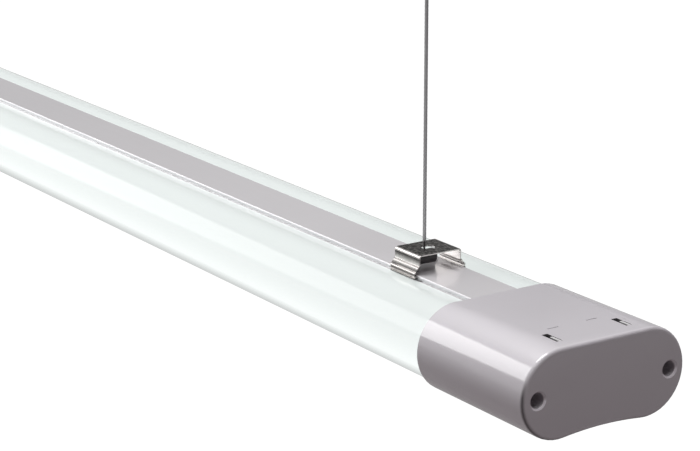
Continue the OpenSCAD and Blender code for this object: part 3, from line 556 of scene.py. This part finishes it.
def dressed(context, cad, name, material, body, edge=0.0):
    """A copy of a CAD node with rounded edges, which stands for the node."""
    sharp = context.scene.shop_light_sizes.sharp_angle
    piece = to_piece(name, merged(cad), material, body, sharp)
    if edge > 0:
        rounding = piece.modifiers.new("Rounded edges", "BEVEL")
        rounding.width = edge
        rounding.segments = EDGE_FACES
        rounding.limit_method = "ANGLE"
        rounding.angle_limit = EDGE_TURN
        rounding.use_clamp_overlap = True
        rounding.harden_normals = True
        weld = piece.modifiers.new("Weld", "WELD")
        weld.merge_threshold = EDGE_WELD
    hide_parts(cad)
    return piece


def paint(cad, material):
    """Gives a carried-over CAD node its finish."""
    mesh = NODES[cad].data
    mesh.materials.clear()
    mesh.materials.append(material)


# Operators


class SHOPLIGHT_OT_stage(bpy.types.Operator):
    """Set the camera, the floor, the lamps and the white surroundings"""

    bl_idname = "shoplight.stage"
    bl_label = "Stage"

    def execute(self, context):
        scene = context.scene
        view = scene.shop_light_view
        scene.view_settings.view_transform = "Standard"
        heading, dip = view.camera_heading, view.camera_dip
        ahead = Vector(
            (
                -math.cos(dip) * math.cos(heading),
                math.cos(dip) * math.sin(heading),
                -math.sin(dip),
            )
        )
        lens = bpy.data.cameras.new("Camera")
        lens.lens = view.lens
        lens.sensor_width = 36.0
        lens.clip_start, lens.clip_end = 0.01, 100.0
        camera = bpy.data.objects.new("Camera", lens)
        camera.location = (
            NEAR_CAP[1].x + view.camera_along,
            CAP_Y - view.camera_aside,
            RAIL[1].z + view.camera_above,
        )
        camera.rotation_mode = "QUATERNION"
        camera.rotation_quaternion = ahead.to_track_quat("-Z", "Y")
        scene.collection.objects.link(camera)
        scene.camera = camera
        self.floor(scene, view)
        self.lamps(scene)
        self.surroundings(scene)
        return {"FINISHED"}

    def floor(self, scene, view):
        """A wide pale floor that keeps the shadow and shows white to the camera and to gloss."""
        shape = bmesh.new()
        bmesh.ops.create_grid(
            shape,
            x_segments=8,
            y_segments=8,
            size=FLOOR_REACH,
            matrix=Matrix.Translation((0, 0, -view.floor_drop)),
        )
        mesh = bpy.data.meshes.new("Floor")
        shape.to_mesh(mesh)
        shape.free()
        floor = bpy.data.objects.new("Floor", mesh)
        scene.collection.objects.link(floor)
        made = surface("Pale floor", (0.42, 0.36, 0.375), 0.9, grain=8.0, bump=0.02, cloud=0.5)
        tree = made.node_tree
        shader = tree.nodes["Principled BSDF"]
        rays = node(tree, "LightPath").outputs
        change = FLOOR_GLOSS_GLOW - FLOOR_GLOW
        glow = maths(tree, "MULTIPLY_ADD", rays["Is Glossy Ray"], change, FLOOR_GLOW)
        white = node(tree, "Emission", ("Color", (1, 1, 1, 1)), ("Strength", glow)).outputs[0]
        seen = maths(tree, "MAXIMUM", rays["Is Camera Ray"], rays["Is Glossy Ray"])
        seen = maths(tree, "MAXIMUM", seen, rays["Is Transmission Ray"])
        share = maths(tree, "MULTIPLY", seen, FLOOR_GLOW_SHARE)
        mixed = node(
            tree, "MixShader", (0, share), (1, shader.outputs[0]), (2, white)
        ).outputs[0]
        from_below = node(
            tree,
            "MixShader",
            (0, node(tree, "NewGeometry").outputs["Backfacing"]),
            (1, mixed),
            (2, node(tree, "BsdfTransparent").outputs[0]),
        ).outputs[0]
        tree.links.new(from_below, tree.nodes["Material Output"].inputs["Surface"])
        mesh.materials.append(made)

    def lamp(self, scene, name, place, aim, width, height, power, upwards):
        """A soft rectangular lamp turned towards aim, its height along the upwards direction."""
        data = bpy.data.lights.new(name, "AREA")
        data.shape = "RECTANGLE"
        data.size, data.size_y = width, height
        data.energy = power
        lamp = bpy.data.objects.new(name, data)
        lamp.location = place
        lamp.rotation_mode = "QUATERNION"
        back = (Vector(place) - Vector(aim)).normalized()
        across = Vector(upwards).cross(back).normalized()
        turned = Matrix((across, back.cross(across), back)).transposed()
        lamp.rotation_quaternion = turned.to_quaternion()
        lamp.visible_camera = False
        scene.collection.objects.link(lamp)

    def lamps(self, scene):
        """A large lamp above, one that draws the bright bands on the lobes, and one in front."""
        for lamp in LAMPS:
            self.lamp(scene, *lamp)

    def surroundings(self, scene):
        """White to the camera, a dim soft room to everything else."""
        world = bpy.data.worlds.new("Surroundings")
        world.use_nodes = True
        scene.world = world
        tree = world.node_tree
        rays = node(tree, "LightPath").outputs
        direction = node(tree, "TexCoord").outputs["Generated"]
        rise = node(tree, "SeparateXYZ", (0, direction)).outputs["Z"]
        greys = node(tree, "ValToRGB", (0, maths(tree, "MULTIPLY_ADD", rise, 0.5, 0.5)))
        marks = greys.color_ramp.elements
        lowest, *between, highest = ROOM_GREYS
        for mark, (place, level) in ((marks[0], lowest), (marks[1], highest)):
            mark.position, mark.color = place, (level, level, level, 1)
        for place, level in between:
            marks.new(place).color = (level, level, level, 1)
        soft = node(tree, "Background", ("Color", (0.15, 0.13, 0.136, 1)))
        aside = node(
            tree, "VectorMath", (0, direction), (1, DARK_SIDE), operation="DOT_PRODUCT"
        ).outputs["Value"]
        level = ramp(tree, aside, DARK_LEAN, (1.0, DARK_LEAST))
        gloss = node(tree, "Background", ("Color", greys.outputs[0]), ("Strength", level))
        white = node(tree, "Background", ("Color", (1, 1, 1, 1)))
        room = node(
            tree,
            "MixShader",
            (0, rays["Is Glossy Ray"]),
            (1, soft.outputs[0]),
            (2, gloss.outputs[0]),
        ).outputs[0]
        shown = node(
            tree,
            "MixShader",
            (0, maths(tree, "MAXIMUM", rays["Is Camera Ray"], rays["Is Transmission Ray"])),
            (1, room),
            (2, white.outputs[0]),
        ).outputs[0]
        tree.links.new(shown, tree.nodes["World Output"].inputs["Surface"])


class SHOPLIGHT_OT_ropes(bpy.types.Operator):
    """Lay up the two stranded steel ropes, with the upper bars crimped on them"""

    bl_idname = "shoplight.ropes"
    bl_label = "Suspension ropes"

    def execute(self, context):
        sizes = context.scene.shop_light_sizes
        steel = surface("Rope steel", context.scene.shop_light_colours.rope, 0.38, metallic=0.9,
                        grain=6000.0, bump=0.15, clouding=0.25, cloud=500.0, spread=0.2)
        plating = zinc("Upper bar zinc")
        for side in SIDES:
            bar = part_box("top_bar_" + side)
            upper = dressed(context, "top_bar_" + side, "upper_bar_" + side, plating,
                            "wire_" + side, edge=sizes.metal_edge / 2)
            x = (bar[0].x + bar[1].x) / 2
            shape = self.laid_strands(x, sizes)
            piece = to_piece("rope_" + side, shape, steel, "wire_" + side, ROPE_CRISP)
            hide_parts("wire_" + side)
        return {"FINISHED"}

    def laid_strands(self, x, sizes):
        """A ring with one bulge for each strand, spun and drawn upwards along the rope."""
        reach = sizes.rope_diameter / 2
        shape = bmesh.new()
        points = STRAND_POINTS * sizes.rope_strands
        bmesh.ops.create_circle(shape, segments=points, radius=reach)
        for vert in shape.verts:
            turn = math.atan2(vert.co.y, vert.co.x) * sizes.rope_strands / 2
            vert.co *= STRAND_VALLEY + STRAND_BULGE * abs(math.cos(turn))
        bmesh.ops.translate(shape, verts=shape.verts, vec=(x, 0, ROPE_LOW_Z))
        span = ROPE_TOP_Z - ROPE_LOW_Z
        bmesh.ops.spin(
            shape,
            geom=shape.verts[:] + shape.edges[:],
            cent=(x, 0, ROPE_LOW_Z),
            axis=(0, 0, 1),
            dvec=(0, 0, span / ROPE_RINGS),
            angle=2 * math.pi * span / sizes.rope_lay,
            steps=ROPE_RINGS,
            use_merge=False,
        )
        bmesh.ops.holes_fill(shape, edges=[e for e in shape.edges if e.is_boundary])
        bmesh.ops.recalc_face_normals(shape, faces=shape.faces)
        return shape


class SHOPLIGHT_OT_end_caps(bpy.types.Operator):
    """Dress the two moulded end caps"""

    bl_idname = "shoplight.end_caps"
    bl_label = "End caps"

    def execute(self, context):
        scene = context.scene
        grey = surface("Cap grey", scene.shop_light_colours.cap, 0.4, ior=1.35, grain=3200.0,
                       bump=0.15, clouding=0.04, cloud=22.0, grain_tint=0.04, spread=0.08,
                       marks=0.05, coat=1.0, coat_roughness=0.11, coat_ior=1.8)
        self.painted_shade(grey)
        for side in SIDES:
            dressed(context, "end_cap_" + side, "cap_" + side, grey, "light",
                    edge=scene.shop_light_sizes.cap_edge)
        return {"FINISHED"}

    def recess(self, tree, along, aside, at, reach):
        """One over the two rectangles of a recess in the top of each cap, nought elsewhere."""
        off_x = maths(tree, "SUBTRACT", maths(tree, "ABSOLUTE", along), at[0])
        off_y = maths(tree, "SUBTRACT", aside, at[1])
        in_x = maths(tree, "LESS_THAN", maths(tree, "ABSOLUTE", off_x), reach[0])
        in_y = maths(tree, "LESS_THAN", maths(tree, "ABSOLUTE", off_y), reach[1])
        return maths(tree, "MULTIPLY", in_x, in_y)

    def rounding(self, tree, along):
        """One on the rounding between each end face and the cap's sides, nought elsewhere."""
        out = maths(tree, "ABSOLUTE", along)
        face = NEAR_CAP[1].x
        side = (face - FACE_FILLET - ROUNDING_START, face - FACE_FILLET / 2)
        front = (face - ROUNDING_SKIN, face - FACE_FILLET / 3)
        return maths(
            tree, "MULTIPLY", ramp(tree, out, side, (0.0, 1.0)), ramp(tree, out, front, (0.0, 1.0))
        )

    def lower_rim_shade(self, tree, band, aside, height):
        """Painted shade on the rounding, darker along the outer sides and the underside of the lobes.
        """
        outward = maths(tree, "MAXIMUM", maths(tree, "SUBTRACT", aside, LOBE_Y), 0.0)
        down = maths(tree, "MULTIPLY", maths(tree, "SUBTRACT", CAP_Z, height), RIM_DOWN)
        low = maths(tree, "MULTIPLY_ADD", outward, RIM_OUT, down)
        share = ramp(tree, low, RIM_REACH, (0.0, 1.0))
        return lessened(tree, maths(tree, "MULTIPLY", share, band), RIM_SHADE_LOSS)

    def pockets(self, tree, away, height):
        """Painted shade inside the screw pockets, and a painted highlight on the lower half of their
        rims.
        """
        inside = ramp(tree, away, (POCKET_R, POCKET_R + POCKET_EDGE), (POCKET_SHADE_LEAST, 1.0))
        past = maths(tree, "GREATER_THAN", away, POCKET_R + POCKET_EDGE / 2)
        within = maths(tree, "LESS_THAN", away, POCKET_RIM)
        fade = (POCKET_Z - POCKET_RIM_FADE, POCKET_Z + POCKET_RIM_FADE)
        low = ramp(tree, height, fade, (POCKET_RIM_HIGHLIGHT, 0.0))
        ring = maths(tree, "MULTIPLY", maths(tree, "MULTIPLY", past, within), low)
        return maths(tree, "ADD", inside, ring)

    def painted_shade(self, grey):
        """Paints shade into the pockets, windows, marks and lower rims and a highlight on the
        pockets' lower rims, and dulls the roundings.
        """
        tree = grey.node_tree
        place = place_on(tree)
        aside = maths(tree, "ABSOLUTE", maths(tree, "SUBTRACT", place["Y"], CAP_Y))
        across = maths(tree, "POWER", maths(tree, "SUBTRACT", aside, POCKET_Y), 2)
        above = maths(tree, "POWER", maths(tree, "SUBTRACT", place["Z"], POCKET_Z), 2)
        away = maths(tree, "SQRT", maths(tree, "ADD", across, above))
        window = self.recess(tree, place["X"], aside, WINDOW_AT, WINDOW_REACH)
        mark = self.recess(tree, place["X"], aside, MARK_AT, MARK_REACH)
        sunk = maths(tree, "LESS_THAN", place["Z"], NEAR_CAP[1].z - SUNK_DEPTH)
        hollow = maths(tree, "MULTIPLY", maths(tree, "MAXIMUM", window, mark), sunk)
        beside = maths(tree, "GREATER_THAN", away, POCKET_RIM)
        band = maths(tree, "MULTIPLY", self.rounding(tree, place["X"]), beside)
        shade = self.pockets(tree, away, place["Z"])
        # Painted shade in the sunk windows and marks
        shade = maths(tree, "MULTIPLY", shade, lessened(tree, hollow, SUNK_SHADE_LOSS))
        shade = maths(tree, "MULTIPLY", shade, self.lower_rim_shade(tree, band, aside, place["Z"]))
        shade_colour(grey, shade)
        coat = tree.nodes["Principled BSDF"].inputs["Coat Weight"]
        tree.links.new(lessened(tree, band, ROUNDING_COAT_LOSS), coat)


class SHOPLIGHT_OT_tube(bpy.types.Operator):
    """Dress the opal tube"""

    bl_idname = "shoplight.tube"
    bl_label = "Opal tube"

    def execute(self, context):
        colours = context.scene.shop_light_colours
        dressed(context, "diffuser", "opal_tube", opal_plastic(colours.tube, colours.tube_glow),
                "light")
        return {"FINISHED"}


class SHOPLIGHT_OT_rail(bpy.types.Operator):
    """Dress the extruded mounting rail"""

    bl_idname = "shoplight.rail"
    bl_label = "Mounting rail"

    def execute(self, context):
        scene = context.scene
        metal = surface("Rail aluminium", scene.shop_light_colours.rail, 0.2, metallic=0.15,
                        grain=5000.0, bump=0.04, clouding=0.03, cloud=12.0, grain_tint=0.02,
                        spread=0.04, lines=(2.0, 620.0, 620.0), line_depth=0.000003,
                        coat=1.0, coat_roughness=0.04, coat_ior=1.6)
        dressed(context, "mounting_rail", "top_rail", metal, "light",
                edge=scene.shop_light_sizes.rail_edge)
        return {"FINISHED"}


class SHOPLIGHT_OT_clips(bpy.types.Operator):
    """Dress the two spring clips on the rail"""

    bl_idname = "shoplight.clips"
    bl_label = "Spring clips"

    def execute(self, context):
        scene = context.scene
        steel = surface("Spring steel", scene.shop_light_colours.clip, 0.22, metallic=1.0,
                        grain=4000.0, bump=0.05, clouding=0.08, cloud=90.0, spread=0.12,
                        marks=0.08, lines=(60.0, 2600.0, 2600.0))
        self.painted_shade(steel)
        for side in SIDES:
            dressed(context, "clip_" + side, "spring_clip_" + side, steel, "light",
                    edge=scene.shop_light_sizes.clip_edge)
        return {"FINISHED"}

    def legs(self, tree, place, flared, ridges):
        """Colour lost to painted shade on the near legs, under their upper bends and in the ridges of
        their feet.
        """
        near = maths(tree, "LESS_THAN", place["Y"], RAIL_Y - LEG_Y)
        below = maths(tree, "LESS_THAN", place["Z"], RAIL[1].z + LEG_TOP)
        reach = (RAIL[1].z + LEG_BEND, RAIL[1].z + LEG_TOP)
        fade = ramp(tree, place["Z"], reach, (0.0, LEG_SHADE_LOSS))
        fade = maths(tree, "MAXIMUM", fade, maths(tree, "MULTIPLY", flared, FOOT_SHADE_LOSS))
        fade = maths(tree, "MULTIPLY", maths(tree, "MULTIPLY", fade, near), below)
        low = maths(tree, "MULTIPLY", ridges, near)
        valleys = maths(tree, "MULTIPLY", low, -VALLEY_SHADE_LOSS, clamp=True)
        return maths(tree, "ADD", fade, valleys, clamp=True)

    def mottled_plate_shade(self, tree, height):
        """Colour lost to a mottled painted shade on top of the plates."""
        plate = ramp(tree, height, [PLATE_Z - depth for depth in PLATE_SHADE_DEPTHS], (0.0, 1.0))
        smoke = node(
            tree,
            "TexNoise",
            ("Vector", node(tree, "TexCoord").outputs["Object"]),
            ("Scale", PLATE_SHADE_SCALE),
            ("Detail", 4.0),
        ).outputs[0]
        blotches = maths(tree, "MULTIPLY_ADD", smoke, PLATE_SHADE_CONTRAST, PLATE_SHADE_OFFSET, clamp=True)
        return maths(tree, "MULTIPLY", plate, maths(tree, "MINIMUM", blotches, PLATE_SHADE_LOSS))

    def painted_shade(self, steel):
        """Paints shade on the near legs, on top of the plates and on the mirror images, and rolls
        ridges into the feet.
        """
        tree = steel.node_tree
        place = place_on(tree)
        flared = maths(tree, "LESS_THAN", place["Z"], RAIL[1].z + LEG_BEND)
        turns = maths(tree, "MULTIPLY", place["Z"], 2 * math.pi / RIDGE_PITCH)
        ridges = maths(tree, "MULTIPLY", maths(tree, "SINE", turns), flared)
        legs = self.legs(tree, place, flared, ridges)
        lost = maths(tree, "MAXIMUM", legs, self.mottled_plate_shade(tree, place["Z"]))
        # Painted shade on the clip where it is seen in gloss
        mirrored = node(tree, "LightPath").outputs["Is Glossy Ray"]
        lost = maths(tree, "MAXIMUM", lost, maths(tree, "MULTIPLY", mirrored, MIRROR_SHADE_LOSS))
        shade_colour(steel, maths(tree, "SUBTRACT", 1.0, lost))
        target = tree.nodes["Principled BSDF"].inputs["Normal"]
        rolled = node(
            tree,
            "Bump",
            ("Strength", 1.0),
            ("Distance", RIDGE_HEIGHT),
            ("Height", ridges),
            ("Normal", target.links[0].from_socket),
        ).outputs[0]
        tree.links.new(rolled, target)


class SHOPLIGHT_OT_bars(bpy.types.Operator):
    """Dress the toggle bars under the clips"""

    bl_idname = "shoplight.bars"
    bl_label = "Toggle bars"

    def execute(self, context):
        scene = context.scene
        coated = surface("Coated bar", scene.shop_light_colours.bar, 0.36, grain=3500.0,
                         bump=0.12, clouding=0.3, cloud=260.0, spread=0.2, coat=0.15)
        edge = scene.shop_light_sizes.metal_edge / 2
        for side in SIDES:
            dressed(context, "toggle_" + side, "toggle_bar_" + side, coated, "wire_" + side,
                    edge=edge)
        return {"FINISHED"}


class SHOPLIGHT_OT_fittings(bpy.types.Operator):
    """Dress the ceiling cups, their discs and the ball saddles"""

    bl_idname = "shoplight.fittings"
    bl_label = "Ceiling fittings"

    def execute(self, context):
        scene = context.scene
        nickel = surface("Satin nickel", scene.shop_light_colours.fitting, 0.3, metallic=1.0,
                         grain=4500.0, bump=0.06, clouding=0.05, cloud=70.0, spread=0.1,
                         marks=0.06, lines=(300.0, 300.0, 5200.0))
        brass = surface("Turned brass", scene.shop_light_colours.saddle, 0.24, metallic=1.0,
                        grain=4500.0, bump=0.05, clouding=0.08, cloud=120.0, spread=0.1,
                        lines=(300.0, 300.0, 6000.0))
        edge = scene.shop_light_sizes.metal_edge
        for side in SIDES:
            dressed(context, "ceiling_cup_" + side, "fitting_cup_" + side, nickel, "ceiling",
                    edge=edge)
            dressed(context, "ceiling_disc_" + side, "fitting_disc_" + side, nickel, "ceiling",
                    edge=edge)
            dressed(context, "saddle_" + side, "ball_saddle_" + side, brass, "saddle_" + side,
                    edge=edge / 2)
        return {"FINISHED"}


class SHOPLIGHT_OT_cable_entry(bpy.types.Operator):
    """Dress the cable entry in the far end cap"""

    bl_idname = "shoplight.cable_entry"
    bl_label = "Cable entry"

    def execute(self, context):
        scene = context.scene
        grey = surface("Entry grey", scene.shop_light_colours.gland, 0.42, grain=2600.0,
                       bump=0.16, clouding=0.08, cloud=60.0, spread=0.12, marks=0.05)
        rubber = surface("Seal rubber", (0.03, 0.03, 0.032), 0.62, grain=3000.0, bump=0.2,
                         clouding=0.2, cloud=150.0)
        for part, finish, slot in (
            ("body", grey, "gland_grey"),
            ("nut", grey, "gland_grey"),
            ("locknut", grey, "gland_grey"),
            ("seal", rubber, "gasket_rubber"),
        ):
            dressed(context, "gland_" + part, "entry_" + part, finish, "light",
                    edge=scene.shop_light_sizes.metal_edge)
        return {"FINISHED"}


class SHOPLIGHT_OT_end_frames(bpy.types.Operator):
    """Dress the frames inside the caps, their gaskets and their screws"""

    bl_idname = "shoplight.end_frames"
    bl_label = "End frames"

    def execute(self, context):
        scene = context.scene
        pale = surface("Frame plastic", (0.52, 0.515, 0.52), 0.48, grain=2600.0, bump=0.14,
                       clouding=0.06, cloud=40.0)
        rubber = surface("Gasket rubber", (0.028, 0.028, 0.03), 0.6, grain=3000.0, bump=0.2,
                         clouding=0.2, cloud=120.0)
        plating = zinc("Screw zinc")
        self.shaded_depth(pale)
        for side in SIDES:
            dressed(context, "end_frame_" + side, "cap_frame_" + side, pale, "light",
                    edge=scene.shop_light_sizes.metal_edge)
            dressed(context, "cap_screws_" + side, "face_screws_" + side, plating, "light",
                    edge=scene.shop_light_sizes.metal_edge / 2)
            paint("end_gasket_" + side, rubber)
        return {"FINISHED"}

    def shaded_depth(self, pale):
        """Darkens the frames below the latch noses, where the caps let little light in."""
        tree = pale.node_tree
        reach = (NEAR_CAP[1].z - NOSE_DEPTH, NEAR_CAP[1].z - NOSE_DEPTH / 2)
        shade_colour(pale, ramp(tree, place_on(tree)["Z"], reach, (FRAME_SHADE_LEAST, 1.0)))


class SHOPLIGHT_OT_gear(bpy.types.Operator):
    """Finish the tray, the LED boards, the driver, the terminals and the leads"""

    bl_idname = "shoplight.gear"
    bl_label = "Gear"

    def execute(self, context):
        tray = surface("Tray white", (0.8, 0.8, 0.79), 0.36, grain=1500.0, bump=0.1, coat=0.2)
        boards = surface("Board mask", (0.86, 0.86, 0.85), 0.3, grain=4000.0, bump=0.04)
        phosphor = surface("Phosphor", (0.9, 0.68, 0.16), 0.3, grain=5000.0, bump=0.1)
        ivory = surface("Socket ivory", (0.82, 0.79, 0.72), 0.42, grain=3000.0, bump=0.08)
        case = surface("Driver case", (0.62, 0.62, 0.64), 0.34, grain=1800.0, bump=0.1,
                       metallic=0.3)
        circuit = surface("Circuit board", (0.02, 0.12, 0.05), 0.3, grain=3000.0, bump=0.08,
                          clouding=0.3, cloud=300.0)
        parts = surface("Components", (0.03, 0.03, 0.035), 0.45, grain=3000.0, bump=0.1,
                        clouding=0.4, cloud=200.0)
        steel = surface("Terminal steel", (0.5, 0.5, 0.52), 0.3, metallic=1.0, grain=5000.0,
                        bump=0.06)
        brown = surface("Lead brown", (0.09, 0.045, 0.025), 0.4, grain=2500.0, bump=0.05)
        red = surface("Lead red", (0.45, 0.02, 0.015), 0.4, grain=2500.0, bump=0.05)
        for cad, material, slot in (
            ("gear_tray", tray, "tray_sheet"),
            ("led_board_left", boards, "led_board"),
            ("led_board_right", boards, "led_board"),
            ("led_chips_left", phosphor, "led_phosphor"),
            ("led_chips_right", phosphor, "led_phosphor"),
            ("board_sockets", ivory, "socket_plastic"),
            ("driver_base", case, "driver_sheet"),
            ("driver_cover", case, "driver_sheet"),
            ("driver_board", circuit, "circuit_board"),
            ("driver_components", parts, "component_dark"),
            ("terminal_block", ivory, "socket_plastic"),
            ("terminal_screws", steel, "screw_steel"),
            ("mains_leads", brown, "lead_brown"),
            ("board_leads", red, "lead_red"),
        ):
            paint(cad, material)
        return {"FINISHED"}


OPERATORS = (
    SHOPLIGHT_OT_stage,
    SHOPLIGHT_OT_ropes,
    SHOPLIGHT_OT_end_caps,
    SHOPLIGHT_OT_tube,
    SHOPLIGHT_OT_rail,
    SHOPLIGHT_OT_clips,
    SHOPLIGHT_OT_bars,
    SHOPLIGHT_OT_fittings,
    SHOPLIGHT_OT_cable_entry,
    SHOPLIGHT_OT_end_frames,
    SHOPLIGHT_OT_gear,
)


class SHOPLIGHT_PT_panel(bpy.types.Panel):
    """Sizes, colours and pieces of the shop light"""

    bl_idname = "SHOPLIGHT_PT_panel"
    bl_label = "Hanging shop light"
    bl_space_type = "VIEW_3D"
    bl_region_type = "UI"
    bl_category = "Shop light"

    def draw(self, context):
        layout = self.layout
        for group in (
            context.scene.shop_light_sizes,
            context.scene.shop_light_colours,
            context.scene.shop_light_view,
        ):
            box = layout.box()
            for name in group.__annotations__:
                box.prop(group, name)
        for operator in OPERATORS:
            layout.operator(operator.bl_idname)


CLASSES = (ShopLightSizes, ShopLightColours, ShopLightView, *OPERATORS, SHOPLIGHT_PT_panel)


def register():
    """Registers the settings, the operators and the panel."""
    for item in CLASSES:
        bpy.utils.register_class(item)
    bpy.types.Scene.shop_light_sizes = PointerProperty(type=ShopLightSizes)
    bpy.types.Scene.shop_light_colours = PointerProperty(type=ShopLightColours)
    bpy.types.Scene.shop_light_view = PointerProperty(type=ShopLightView)


def unregister():
    """Takes the settings, the operators and the panel away again."""
    del bpy.types.Scene.shop_light_view
    del bpy.types.Scene.shop_light_colours
    del bpy.types.Scene.shop_light_sizes
    for item in reversed(CLASSES):
        bpy.utils.unregister_class(item)


def main():
    """Makes every piece in order."""
    register()
    bpy.ops.shoplight.stage()
    bpy.ops.shoplight.ropes()
    bpy.ops.shoplight.end_caps()
    bpy.ops.shoplight.tube()
    bpy.ops.shoplight.rail()
    bpy.ops.shoplight.clips()
    bpy.ops.shoplight.bars()
    bpy.ops.shoplight.fittings()
    bpy.ops.shoplight.cable_entry()
    bpy.ops.shoplight.end_frames()
    bpy.ops.shoplight.gear()


if __name__ == "__main__":
    main()
